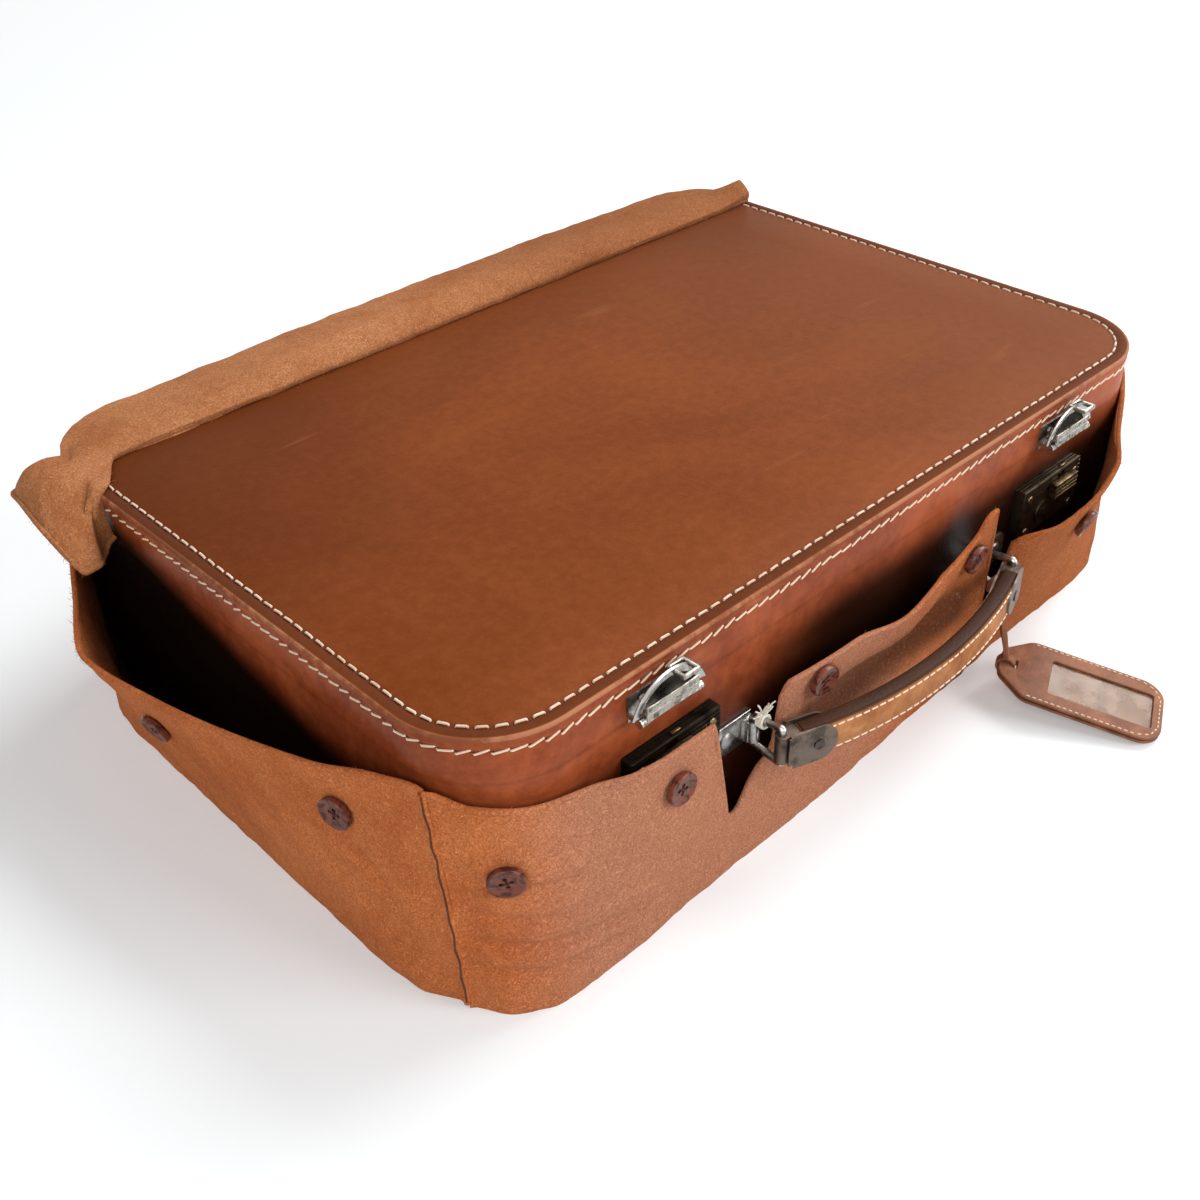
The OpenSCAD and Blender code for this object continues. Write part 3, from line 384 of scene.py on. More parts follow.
def soften(piece, width, segments=2, angle=60):
    """Rounds the edges of a piece that are sharper than an angle."""
    modify(piece, "BEVEL", width=width * mm, segments=segments, limit_method="ANGLE",
           angle_limit=math.radians(angle))


def upright(centre, direction):
    return abs(direction.z) > 0.9


def outer_edge(centre, direction):
    over_x, over_y = abs(centre.x) - case_l / 2 + corner_r, abs(centre.y) - case_w / 2 + corner_r
    away = Vector((max(0, over_x), max(0, over_y)))
    return away.length > corner_r - 0.1 and abs(direction.z) < 0.1


lid_top = block("lid_top_skin", (-case_l / 2 - overhang, -case_w / 2 - overhang, case_top - 2),
                (case_l / 2 + overhang, case_w / 2 + overhang, case_top))
pick("EDGE", upright)
bpy.ops.mesh.bevel(offset=(corner_r + overhang) * mm, segments=28, affect="EDGES")
pick("FACE", lambda centre, normal: normal.z > 0.9)
step_in((0, 0, 1), (5.2, 0), (0.6, -0.4), (1.2, 0), (0.8, 0.35), (30, 0.25))
pick("EDGE", outer_edge)
bpy.ops.mesh.bevel(offset=0.8 * mm, segments=4, affect="EDGES")
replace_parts(close(lid_top, top_hide, "lid"), "lid_top_leather")

lid_side = block("lid_side_band", (-case_l / 2, -case_w / 2, split_z), (case_l / 2, case_w / 2, case_top - 2))
pick("EDGE", upright)
bpy.ops.mesh.bevel(offset=corner_r * mm, segments=28, affect="EDGES")
pick("FACE", upright)
bpy.ops.mesh.delete(type="FACE")
for height in (127.6, 127, 125.6, 124.6, 123.6):
    cut_across((0, 0, height), (0, 0, 1))
for height, depth in ((127, 0.35), (124.6, -0.45)):
    pick("EDGE", lambda centre, direction: abs(centre.z - height) < 0.05 and abs(direction.z) < 0.1)
    bpy.ops.transform.shrink_fatten(value=depth * mm)
thicken(lid_side, 2)
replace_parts(close(lid_side, side_hide, "lid"), "lid_side_leather")


# Stitching of the lid
# Waxed linen thread, sewn by hand: a straight row on the top panel and a slanted row on the side band,
# each stitch diving into its awl hole.
thread, tree, shader, place = new_finish("waxed_thread", Roughness=0.8, Sheen_Weight=0.2)
dirt, twist = mottle(tree, place, 45.0, 3.0), mottle(tree, place, 1800.0)
cream = tint(tree, span(tree, dirt, 0.35, 0.7), hue(242, 218, 194), hue(216, 180, 152))
# Thread below the lid's top is painted paler: painted light for the side stitches, which stand in shade
cream = stained(tree, place, cream, (0.8, hue(240, 214, 182), ("Z", 0.1285, 0.1265)),
                (0.25, hue(168, 122, 94), twist))
lay(tree, shader, cream, twist, 0.0002)


def mottled(name, scale, first, second, detail=2.0, harsh=0.5, depth=0.0, **plain):
    """A finish of two colours in small clouds, which also raise it."""
    finish, tree, shader, place = new_finish(name, **plain)
    spots = mottle(tree, place, scale, detail, harsh)
    lay(tree, shader, tint(tree, spots, first, second), spots if depth else None, depth)
    return finish


# The dark of the awl holes is painted shade inside them; the same finish also serves as the buttons' dark
# thread
hole_shade_and_thread = mottled("hole_shade_and_dark_thread", 500.0, hue(30, 14, 8), hue(60, 28, 14), Roughness=0.9)


def around_case(inset, pitch):
    """Places along the case's outline drawn in by a distance, each with its direction and its way out."""
    radius = corner_r - inset
    long_side, short_side = case_l - 2 * corner_r, case_w - 2 * corner_r
    bend = math.pi * radius / 2
    total = 2 * (long_side + short_side) + 4 * bend
    count = round(total / pitch)
    places = []
    for k in range(count):
        s = k * total / count
        for quarter in range(4):
            side, reach = (long_side, short_side / 2) if quarter % 2 == 0 else (short_side, long_side / 2)
            turn = Matrix.Rotation(quarter * math.pi / 2, 3, "Z")
            if s < side:
                spot = turn @ Vector((s - side / 2, -reach - radius, 0))
                places.append((spot, turn @ Vector((1, 0, 0)), turn @ Vector((0, -1, 0))))
                break
            s -= side
            if s < bend:
                a = s / radius
                out = Vector((math.sin(a), -math.cos(a), 0))
                spot = turn @ (Vector((side / 2, -reach, 0)) + out * radius)
                places.append((spot, turn @ Vector((math.cos(a), math.sin(a), 0)), turn @ out))
                break
            s -= bend
    return places


def stand(spot, along, face):
    """The matrix that puts a small piece at a spot, its length along one way and its top to another."""
    along, face = along.normalized(), face.normalized()
    return Matrix.Translation(spot * mm) @ Matrix((along, face.cross(along), face)).transposed().to_4x4()


lying, front_on = (0, math.pi / 2, 0), (math.pi / 2, 0, 0)


def rod(name, sides, radius, length, place=(0, 0, 0), turn=(0, 0, 0)):
    """Opens a new cylinder, upright or turned, for shaping."""
    let_go()
    bpy.ops.mesh.primitive_cylinder_add(vertices=sides, radius=radius * mm, depth=length * mm,
                                        location=Vector(place) * mm, rotation=turn)
    return begin(name)


def new_stitch(length, radius):
    """One stitch along X: a thread that rises from its hole and dives into the next."""
    piece = rod("stitch", 8, radius, length, turn=lying)
    for x in (-0.42, -0.3, 0.3, 0.42):
        cut_across((x * length, 0, 0), (1, 0, 0))
    for reach, fall in ((0.4, 0.25), (0.48, 1.2)):
        pick("VERT", lambda point, normal: abs(point.x) > reach * length)
        bpy.ops.transform.translate(value=(0, 0, -fall * radius * mm))
    bpy.ops.object.mode_set(mode="OBJECT")
    return piece


def new_hole(radius):
    """One awl hole: a low cone, open side up, its dark finish the painted shade inside the hole."""
    piece = rod("hole", 8, radius, 0.3)
    pick("FACE", lambda centre, normal: normal.z > 0.9)
    step_in((0, 0, 1), (0.3 * radius, -0.2))
    bpy.ops.object.mode_set(mode="OBJECT")
    return piece


def join(name, first, *rest):
    """Joins shaped parts into one named piece."""
    let_go()
    for part in (first, *rest):
        part.select_set(True)
    bpy.context.view_layer.objects.active = first
    bpy.ops.object.join()
    first.name = first.data.name = name
    return first


def set_out(pattern, name, places):
    """Copies a finished small piece to each place and joins the copies into one piece."""
    copies = []
    for where in places:
        copy = pattern.copy()
        copy.data = pattern.data.copy()
        copy.data.transform(where)
        bpy.context.collection.objects.link(copy)
        copies.append(copy)
    bpy.data.objects.remove(pattern)
    return join(name, *copies)


hand = random.Random(7)
up = Vector((0, 0, 1))
wide = Matrix.Diagonal((0.75, 1.45, 1, 1))
places, holes = [], []
for spot, along, out in around_case(6.4, 7.0):
    lean = Matrix.Rotation(hand.uniform(-0.07, 0.07), 3, "Z")
    places.append(stand(spot + up * (case_top + 0.1), lean @ along, up))
    holes.append(stand(spot + along * 3.5 + up * (case_top - 0.36), along, up) @ wide)
close(set_out(new_stitch(5.0, 0.52), "lid_top_stitches", places), thread, "lid")
close(set_out(new_hole(1.1), "lid_top_holes", holes), hole_shade_and_thread, "lid")

places, holes = [], []
for spot, along, out in around_case(0, 6.6):
    slant = up * (0.3 + hand.uniform(-0.16, 0.16))
    row = spot + up * (124.6 + hand.uniform(-0.25, 0.25))
    places.append(stand(row + out * 0.05, along + slant, out))
    holes.append(stand(row + along * 3.3 - out * 0.45, along, out))
close(set_out(new_stitch(6.7, 0.46), "lid_side_stitches", places), thread, "lid")
close(set_out(new_hole(0.95), "lid_side_holes", holes), hole_shade_and_thread, "lid")


# Base, boards, lining and dividers
# The base is one skin of the same red-brown leather over board, lined with pale cloth. The dividers
# stand loose in the base, and an elastic band crosses the inside of the lid.
def dress(finish, *names):
    """Gives CAD pieces, which keep their shape, a finish."""
    for name in names:
        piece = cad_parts[name]
        piece.data.materials.clear()
        piece.data.materials.append(finish)


dress(side_hide, "base_leather")
pulp = mottled("grey_board", 350.0, hue(150, 122, 84), hue(196, 170, 128), 6.0, 0.8, 0.0003, Roughness=0.9)
dress(pulp, "base_board", "lid_board")

lining, tree, shader, place = new_finish("cloth_lining", Roughness=0.92, Sheen_Weight=0.15)
weave = [node(tree, "TexWave", {"bands_direction": way}, {
    "Vector": place, "Scale": 260.0, "Distortion": 0.4}).outputs[1] for way in ("X", "Y", "Z")]
threads = calc(tree, "MAXIMUM", weave[0], calc(tree, "MAXIMUM", weave[1], weave[2]))
linen = tint(tree, mottle(tree, place, 9.0, 5.0), hue(206, 184, 144), hue(226, 210, 176))
lay(tree, shader, tint(tree, times(tree, threads, 0.25), linen, hue(168, 142, 102)), threads, 0.00015)
dress(lining, "base_lining", "lid_lining")

divider_hide, tree, shader, place, skin, tan = new_leather(
    "divider_hide", 0.4, 20.0, 0.6, 0.35, hue(134, 84, 44), hue(170, 116, 70))
lay(tree, shader, tint(tree, skin["Scuff"], tan, hue(196, 150, 106)), skin["Height"], 0.00015)
dress(divider_hide, "divider_long", "dividers_cross", "base_lip")

elastic, tree, shader, place = new_finish("elastic_band", Roughness=0.85, Sheen_Weight=0.2)
ribs = node(tree, "TexWave", {"bands_direction": "Y"}, {"Vector": place, "Scale": 150.0, "Distortion": 0.3})
lay(tree, shader, tint(tree, ribs.outputs[1], hue(120, 76, 42), hue(178, 126, 80)), ribs.outputs[1], 0.0003)
dress(elastic, "lid_pocket_band")


# Back hinges
# Two plain butt hinges of bright steel, screwed to the back, hidden by the thrown-back flap.
wear, given, result = new_effect("metal_wear", ("Tarnish", "Dullness", "Height"), Spots=60.0, Scratches=1.0)
cloud = mottle(wear, given["Place"], given["Spots"], 6.0, 0.65)
pits = mottle(wear, given["Place"], 700.0, 3.0)
drawn = node(wear, "Mapping", None, {
    "Vector": given["Place"], "Scale": (120.0, 900.0, 1800.0), "Rotation": (0.3, 0.2, 0.7)})
scratch = times(wear, span(wear, mottle(wear, drawn.outputs[0], 1.0), 0.6, 0.75), given["Scratches"])
for label, value in (("Tarnish", span(wear, cloud, 0.46, 0.7)),
                     ("Dullness", calc(wear, "MULTIPLY_ADD", cloud, 0.4, times(wear, scratch, 0.3))),
                     ("Height", calc(wear, "MULTIPLY_ADD", pits, 0.6, scratch))):
    wear.links.new(value, result[label])


def new_metal(name, bright, dull, polish, spots=60.0, scratches=1.0):
    """A metal finish between a bright and a tarnished colour."""
    finish, tree, shader, place = new_finish(name, Metallic=1.0)
    age = effect(tree, wear, place, Spots=spots, Scratches=scratches)
    lay(tree, shader, tint(tree, age["Tarnish"], bright, dull), age["Height"], 0.00004,
        calc(tree, "ADD", age["Dullness"], polish))
    return finish


hinge_steel = new_metal("hinge_steel", hue(214, 214, 210), hue(150, 140, 126), 0.15)
dress(hinge_steel, "back_hinge_base_leaves", "back_hinge_lid_leaves", "back_hinge_pins",
      "back_hinge_base_screws", "back_hinge_lid_screws")


# Hasps
# Pressed half-round dishes of bright plated sheet, hinged on a pin in a folded bracket. Each has a
# rolled rim, a fluted strip along its knuckles and a square staple for the lock.
plating = new_metal("bright_plating", hue(188, 186, 182), hue(106, 99, 90), 0.08, 110.0, 0.3)
worn_plating = new_metal("worn_plating", hue(176, 170, 160), hue(70, 60, 48), 0.16, 260.0)
grimed_plating = new_metal("grimed_plating", hue(92, 86, 78), hue(26, 22, 18), 0.3, 150.0)
hasp_y, hasp_z, dish_z = -167.6, 112, 108


def cut_with(piece, tool):
    """Takes one solid out of another."""
    modify(piece, "BOOLEAN", object=tool, operation="DIFFERENCE", solver="EXACT")
    bpy.data.objects.remove(tool)


def softened_block(name, low, high, edge, steps=2):
    """A block with its edges rounded."""
    piece = block(name, low, high)
    bpy.ops.mesh.select_all(action="SELECT")
    bpy.ops.mesh.bevel(offset=edge * mm, segments=steps, affect="EDGES")
    bpy.ops.object.mode_set(mode="OBJECT")
    return piece


def pierce(wall):
    """Opens the shape from its top to its foot and leaves a wall around."""
    pick("FACE", lambda middle, normal: abs(normal.z) > 0.9)
    bpy.ops.mesh.inset(thickness=wall * mm)
    bpy.ops.mesh.bridge_edge_loops()


def new_hasp(name, centre):
    """One hasp about its middle, thrown up with its hollow side outwards."""
    let_go()
    bpy.ops.mesh.primitive_circle_add(vertices=72, radius=21 * mm, fill_type="NGON", rotation=front_on,
                                      location=Vector((centre, hasp_y + 0.1, dish_z)) * mm)
    dish = begin(name)
    step_in((0, 1, 0), (0.7, -0.5), (3.2, 0.5), (0.5, 0.9), (1.2, 1.4), (1.2, 0.6), (2.2, 0.2))
    bpy.ops.mesh.select_all(action="SELECT")
    bpy.ops.mesh.bisect(plane_co=(0, 0, (hasp_z + 2.8) * mm), plane_no=(0, 0, 1), clear_inner=True)
    thicken(dish, 0.9)
    soften(dish, 0.25, angle=50)
    strip = block("strip", (centre - 14, hasp_y - 2, hasp_z), (centre + 14, hasp_y - 1, hasp_z + 7))
    for k in range(-6, 7):
        cut_across((centre + 2 * k, 0, 0), (1, 0, 0))
    pick("FACE", lambda middle, normal: normal.y < -0.9 and round(middle.x - centre - 1) // 2 % 2 == 0)
    bpy.ops.mesh.inset(thickness=0.35 * mm, use_individual=True)
    bpy.ops.transform.translate(value=(0, 0.3 * mm, 0))
    soften(strip, 0.2)
    shelf = softened_block("shelf", (centre - 14, hasp_y - 2, hasp_z + 2.8),
                           (centre + 14, hasp_y + 4, hasp_z + 3.7), 0.25)
    knuckle = rod("knuckle", 28, 2, 30.8, (centre, hasp_y, hasp_z), lying)
    for gap in (-9.05, -3.05, 3.05, 9.05):
        for x in (gap - 0.15, gap + 0.15):
            cut_across((centre + x, 0, 0), (1, 0, 0))
    pick("FACE", lambda middle, normal: abs(normal.x) < 0.5 and abs(abs(middle.x - centre) % 6 - 3.05) < 0.1)
    bpy.ops.transform.shrink_fatten(value=-0.4 * mm)
    hook = centre + 6
    staple = block("staple", (hook - 4.5, hasp_y - 5.8, 125.3), (hook + 4.5, hasp_y + 3.6, 127.5))
    pierce(1.4)
    soften(staple, 0.45, 3)
    for part in (strip, knuckle, staple):
        part.data.materials.append(worn_plating)
    for part in (dish, shelf):
        part.data.materials.append(plating)
    dish.data.materials.append(grimed_plating)
    for face in dish.data.polygons:
        across = Vector((face.center.x / mm - centre, face.center.z / mm - dish_z))
        face.material_index = 1 if face.normal.y < 0 and across.length < 16.6 else 0
    hasp = join(name, dish, strip, shelf, knuckle, staple)
    bpy.ops.object.shade_smooth_by_angle(angle=math.radians(35))
    return hasp


for side, centre in (("left", -141.5), ("right", 136.5)):
    hasp = new_hasp("hasp_plate_" + side, centre)
    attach(hasp, "hasp_" + side)
    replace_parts(hasp, "hasp_" + side)
dress(plating, "hasp_bracket_left", "hasp_bracket_right", "hasp_pins")
dress(worn_plating, "hasp_bracket_rivets")


# Locks
# Hollow pressed lock cases of dark bronzed sheet, the left one rougher and darker with painted shade, fluted
# along the top and the upper front, with a round cover plate. A ribbed thumb slide lifts the bolt into the
# hasp's staple.
bronze = new_metal("dark_bronze", hue(72, 61, 48), hue(24, 19, 15), 0.22, 120.0)
rubbed_bronze = new_metal("rubbed_bronze", hue(132, 112, 82), hue(48, 38, 27), 0.14, 160.0)
# The left lock's bronze is a darker copy, painted shade for the shadow that it stands in
shaded_bronze = new_metal("shaded_bronze", hue(40, 32, 24), hue(14, 11, 8), 0.36, 120.0)
lock_face, lock_top, slide_z = -167, 93, 85


def new_lock(name, centre, thumb_at, cover_at):
    """One lock case about its middle."""
    shell = block(name, (centre - 25, lock_face, lock_top - 27.5), (centre + 25, case_front, lock_top))
    pick("FACE", lambda middle, normal: normal.y > 0.9)
    bpy.ops.mesh.delete(type="FACE")
    pick("EDGE", lambda middle, direction: middle.y < case_front - 1)
    bpy.ops.mesh.bevel(offset=0.8 * mm, segments=3, affect="EDGES")
    thicken(shell, 1.2)
    for k in range(3):
        z, y = lock_top - 2.2 - 2.2 * k, lock_face + 0.9 + 1.7 * k
        cut_with(shell, softened_block("flute", (centre - 30, lock_face - 1, z),
                                       (centre + 30, lock_face + 0.6, z + 0.9), 0.25))
        cut_with(shell, softened_block("top_flute", (centre - 30, y, lock_top - 0.6),
                                       (centre + 30, y + 0.9, lock_top + 1), 0.25))
    cut_with(shell, block("bolt_slot", (thumb_at + 1.2, lock_face + 1.2, lock_top - 3),
                          (thumb_at + 6.8, lock_face + 3.4, lock_top + 1)))
    cut_with(shell, softened_block("slide_slot", (thumb_at - 3.4, lock_face - 1, slide_z - 4),
                                   (thumb_at + 3.4, lock_face + 2, slide_z + 6), 0.4))
    cover = rod("cover", 40, 6.5, 1.6, (cover_at, lock_face - 0.2, slide_z - 10), front_on)
    pick("FACE", lambda middle, normal: normal.y < -0.9)
    step_in((0, 1, 0), (0.8, 0), (0.5, 0.35), (2.6, 0), (0.5, -0.3))
    soften(cover, 0.2)
    return join(name, shell, cover)


def new_slide(name, centre):
    """One thumb slide with its ribs, its stem, the plate behind the lock's face and the bolt."""
    thumb = block(name, (centre - 10, lock_face - 4, slide_z - 4),
                  (centre + 10, lock_face - 0.2, slide_z + 4))
    grooves = (-2.2, 0, 2.2)
    for z in grooves:
        for side in (-0.5, 0.5):
            cut_across((0, 0, slide_z + z + side), (0, 0, 1))
    pick("FACE", lambda middle, normal: normal.y < -0.9
         and min(abs(middle.z - slide_z - z) for z in grooves) < 0.1)
    bpy.ops.mesh.extrude_region_move(TRANSFORM_OT_translate={"value": (0, 0.8 * mm, 0)})
    soften(thumb, 0.25, angle=50)
    stem = softened_block("stem", (centre - 3, lock_face - 0.3, slide_z - 3.5),
                          (centre + 3, lock_face + 1.7, slide_z + 0.5), 0.2)
    plate = softened_block("plate", (centre - 7, lock_face + 1.4, slide_z - 4),
                           (centre + 7, lock_face + 3, slide_z + 1), 0.3)
    bolt = softened_block("bolt", (centre + 1.5, lock_face + 1.4, slide_z),
                          (centre + 6.5, lock_face + 3, lock_top + 0.5), 0.3)
    return join(name, thumb, stem, plate, bolt)


def new_screw():
    """One domed screw head with its slot, facing the front."""
    head = rod("screw", 24, 2, 1.2, turn=front_on)
    pick("FACE", lambda middle, normal: normal.y < -0.9)
    bpy.ops.mesh.bevel(offset=0.6 * mm, segments=4, affect="EDGES")
    cut_with(head, softened_block("slot", (-3, -1, -0.3), (3, -0.25, 0.3), 0.05))
    return head


heads = []
for side, centre, thumb_at, cover_at, skin in (("left", -136.5, -139.5, -125.5, shaded_bronze),
                                               ("right", 131.5, 138.5, 124.5, bronze)):
    lock = close(new_lock("lock_case_" + side, centre, thumb_at, cover_at), skin, "base")
    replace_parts(lock, "lock_body_" + side)
    slide = new_slide("lock_thumb_" + side, thumb_at)
    close(slide, rubbed_bronze, "lock_slide_" + side)
    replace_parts(slide, "lock_slide_" + side)
    heads += [Matrix.Translation(Vector((centre + x, lock_face - 0.1, z)) * mm)
              @ Matrix.Rotation(hand.uniform(0, 3), 4, "Y") for x in (-20, 20) for z in (68.5, 87)]
screws = close(set_out(new_screw(), "lock_screw_heads", heads), rubbed_bronze, "base")
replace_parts(screws, "lock_screws")


# Handle brackets
# Bright plates riveted to the case, each folded at its inner end into an eye for the ring.
handle_x, handle_z, ring_off = -5, 65, 84
ring_y, ring_out_y = -165.2, -181.2


def new_bracket(name, side):
    """One plate with its folded eye, its rivet apart."""
    ring = handle_x + side * ring_off
    ends = sorted((ring - side * 2, ring + side * 22))
    plate = block(name, (ends[0], case_front - 1.5, handle_z - 8), (ends[1], case_front, handle_z + 8))
    pick("EDGE", lambda middle, direction: abs(direction.y) > 0.9 and side * (middle.x - ring) > 17)
    bpy.ops.mesh.bevel(offset=5 * mm, segments=8, affect="EDGES")
    soften(plate, 0.4, angle=50)
    eye = rod("eye", 32, 3.3, 11, (ring, ring_y, handle_z))
    pierce(1.4)
    soften(eye, 0.3)
    ends = sorted((ring + side * 1.9, ring + side * 4))
    fold = softened_block("fold", (ends[0], ring_y - 0.6, handle_z - 5.5),
                          (ends[1], case_front - 0.4, handle_z + 5.5), 0.5)
    return join(name, plate, eye, fold)


for side, way in (("left", -1), ("right", 1)):
    bracket = close(new_bracket("bracket_plate_" + side, way), plating, "base")
    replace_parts(bracket, "handle_bracket_" + side)

let_go()
bpy.ops.mesh.primitive_uv_sphere_add(segments=24, ring_count=12, radius=4 * mm)
rivet = begin("rivet")
bpy.ops.mesh.select_all(action="SELECT")
bpy.ops.transform.resize(value=(1, 0.4, 1))
bpy.ops.mesh.bisect(plane_co=(0, 0.2 * mm, 0), plane_no=(0, 1, 0), clear_outer=True, use_fill=True)
bpy.ops.object.mode_set(mode="OBJECT")
rivet_steel = new_metal("rivet_steel", hue(150, 150, 148), hue(70, 64, 56), 0.2, 200.0)
rivets = set_out(rivet, "bracket_rivets", [
    Matrix.Translation(Vector((handle_x + x, case_front - 1.6, handle_z)) * mm) for x in (-97.6, 97.6)])
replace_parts(close(rivets, rivet_steel, "base"), "handle_bracket_rivets")


# Handle rings
# Two loops of bright wire, a little taller at the handle than at the case, each bent round and closed.
def bow(start, middle, end, t):
    """A point on the curve from a start to an end that leans towards the middle."""
    return (1 - t) ** 2 * start + 2 * t * (1 - t) * middle + t * t * end


def rounded_path(corners, radius, steps=6):
    """A closed path through corners with each of them bent to a radius."""
    points = []
    for k, corner in enumerate(corners):
        before = (corners[k - 1] - corner).normalized()
        after = (corners[(k + 1) % len(corners)] - corner).normalized()
        reach = radius / math.tan(before.angle(after) / 2)
        points += [bow(corner + before * reach, corner, corner + after * reach, step / steps)
                   for step in range(steps + 1)]
    return points


def wire(name, points, radius, closed=False, sides=4):
    """A round wire or thread along a path, as a mesh."""
    line = bpy.data.curves.new(name, "CURVE")
    line.dimensions = "3D"
    line.bevel_depth = radius * mm
    line.bevel_resolution = sides
    line.use_fill_caps = True
    strand = line.splines.new("POLY")
    strand.points.add(len(points) - 1)
    for point, spot in zip(strand.points, points):
        point.co = (*(spot * mm), 1)
    strand.use_cyclic_u = closed
    piece = bpy.data.objects.new(name, line)
    bpy.context.collection.objects.link(piece)
    hold(piece)
    bpy.ops.object.convert(target="MESH")
    return bpy.context.active_object


for side, way in (("left", -1), ("right", 1)):
    x = handle_x + way * ring_off
    corners = [Vector((x, y, handle_z + z)) for y, z in (
        (ring_y, -7), (ring_out_y, -9.5), (ring_out_y, 9.5), (ring_y, 7))]
    ring = wire("ring_wire_" + side, rounded_path(corners, 1.6), 1.75, closed=True)
    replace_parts(close(ring, plating, "ring_" + side, 60), "handle_ring_" + side)

# A scrap of string is knotted round the left ring's upper wire, its short ends frayed
string = mottled("cotton_string", 1500.0, hue(196, 184, 160), hue(244, 240, 228), depth=0.0002,
                 Roughness=0.9, Sheen_Weight=0.3)
knot_at = Vector((handle_x - ring_off, ring_y - 5.2, handle_z + 7.8))
strands = []
for k in (-1, 0, 1):
    turn = [knot_at + Vector((2.75 * math.cos(a), k * 1.2 + 0.4 * math.sin(a), 2.75 * math.sin(a)))
            for a in [step * math.pi / 9 for step in range(18)]]
    strands.append(wire("turn", turn, 0.75, closed=True, sides=2))
for k in range(16):
    a = math.radians(-75 + 10 * k + hand.uniform(-8, 8))
    reach, lean = hand.uniform(4.5, 8.5), hand.uniform(-3.5, 2.5)
    root = knot_at + Vector((0, 0, 2.4))
    tip = root + Vector((reach * math.sin(a), lean, 0.5 + reach * 0.85 * abs(math.cos(a))))
    middle = (root + tip) / 2 + Vector((hand.uniform(-1, 1), hand.uniform(-1, 1), 0.8))
    curve = [bow(root, middle, tip, step / 5) for step in range(6)]
    strands.append(wire("end", curve, hand.uniform(0.22, 0.42), sides=1))
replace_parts(close(join("string_knot", *strands), string, "ring_left", 60), "string_tuft")


# Handle
# A flat strap of laminated leather bent to a low arch, stitched along both edges with cream thread,
# its ends held in folded steel ferrules by one rivet each.
arch_y, arch_r, arch_end = 31.3, 228.5, math.radians(19.56)
grip_w, grip_t = 17, 8


def on_arch(angle, radius, height):
    """A point on the handle's arch."""
    return Vector((handle_x + radius * math.sin(angle), arch_y - radius * math.cos(angle), handle_z + height))


grip_hide, tree, shader, place, skin, tan = new_leather(
    "grip_hide", 0.08, 40.0, 1.0, 0.3, hue(140, 84, 46), hue(182, 122, 76))
height = node(tree, "SeparateXYZ", None, {0: place}).outputs["Z"]
from_mid = calc(tree, "ABSOLUTE", calc(tree, "SUBTRACT", height, handle_z * mm))
tan = stained(tree, place, tan, (0.6, hue(206, 158, 112), skin["Scuff"]),
              (0.95, hue(44, 23, 14), (from_mid, 0.0066, 0.008)))
lay(tree, shader, tan, skin["Height"], 0.0002)

let_go()
bpy.ops.mesh.primitive_plane_add(size=1, location=on_arch(-arch_end, arch_r, 0) * mm,
                                 rotation=(0, math.pi / 2, -arch_end))
bpy.context.active_object.scale = (grip_w * mm, grip_t * mm, 1)
grip = begin("grip_strap")
bpy.ops.mesh.bevel(offset=2 * mm, segments=4, affect="VERTICES")
bpy.ops.mesh.select_all(action="SELECT")
bpy.ops.mesh.spin(steps=60, angle=-2 * arch_end, axis=(0, 0, 1),
                  center=Vector((handle_x, arch_y, handle_z)) * mm)
bpy.ops.mesh.select_all(action="SELECT")
bpy.ops.mesh.remove_doubles(threshold=0.01 * mm)
bpy.ops.mesh.normals_make_consistent(inside=False)
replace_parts(close(grip, grip_hide, "handle"), "handle_grip")

places = []
for k in range(-16, 17):
    angle = k * arch_end / 18
    out = Vector((math.sin(angle), -math.cos(angle), 0))
    for row in (-6, 6):
        for face in (-1, 1):
            spot = on_arch(angle, arch_r - face * (grip_t / 2 + 0.05), row)
            along = Vector((math.cos(angle), math.sin(angle), hand.uniform(-0.05, 0.05)))
            places.append(stand(spot, along, -face * out))
close(set_out(new_stitch(3.6, 0.4), "grip_stitches", places), thread, "handle")

ferrule_steel = new_metal("ferrule_steel", hue(116, 102, 92), hue(54, 44, 38), 0.26, 90.0)
dress(ferrule_steel, "handle_ferrule_left", "handle_ferrule_right")
dress(new_metal("dark_rivet", hue(84, 78, 74), hue(38, 34, 32), 0.2, 200.0), "handle_ferrule_rivets")


# Luggage tag
# Two layers of leather sewn round their edge with a card and a clear sheet between them, hung on a
# narrow strap from the right ring.
tag_at, tag_turn = Vector((78, -186.8, 16)), math.radians(-65)
tag_place = Matrix.Translation(tag_at * mm) @ Matrix.Rotation(tag_turn, 4, "Z") \
    @ Matrix.Rotation(math.radians(10.33), 4, "Y")

tag_hide, tree, shader, place, skin, tan = new_leather(
    "tag_hide", 0.2, 50.0, 1.0, 0.35, hue(110, 65, 43), hue(150, 98, 69))
lay(tree, shader, stained(tree, place, tan, (0.7, hue(180, 134, 104), skin["Scuff"])), skin["Height"], 0.0003)


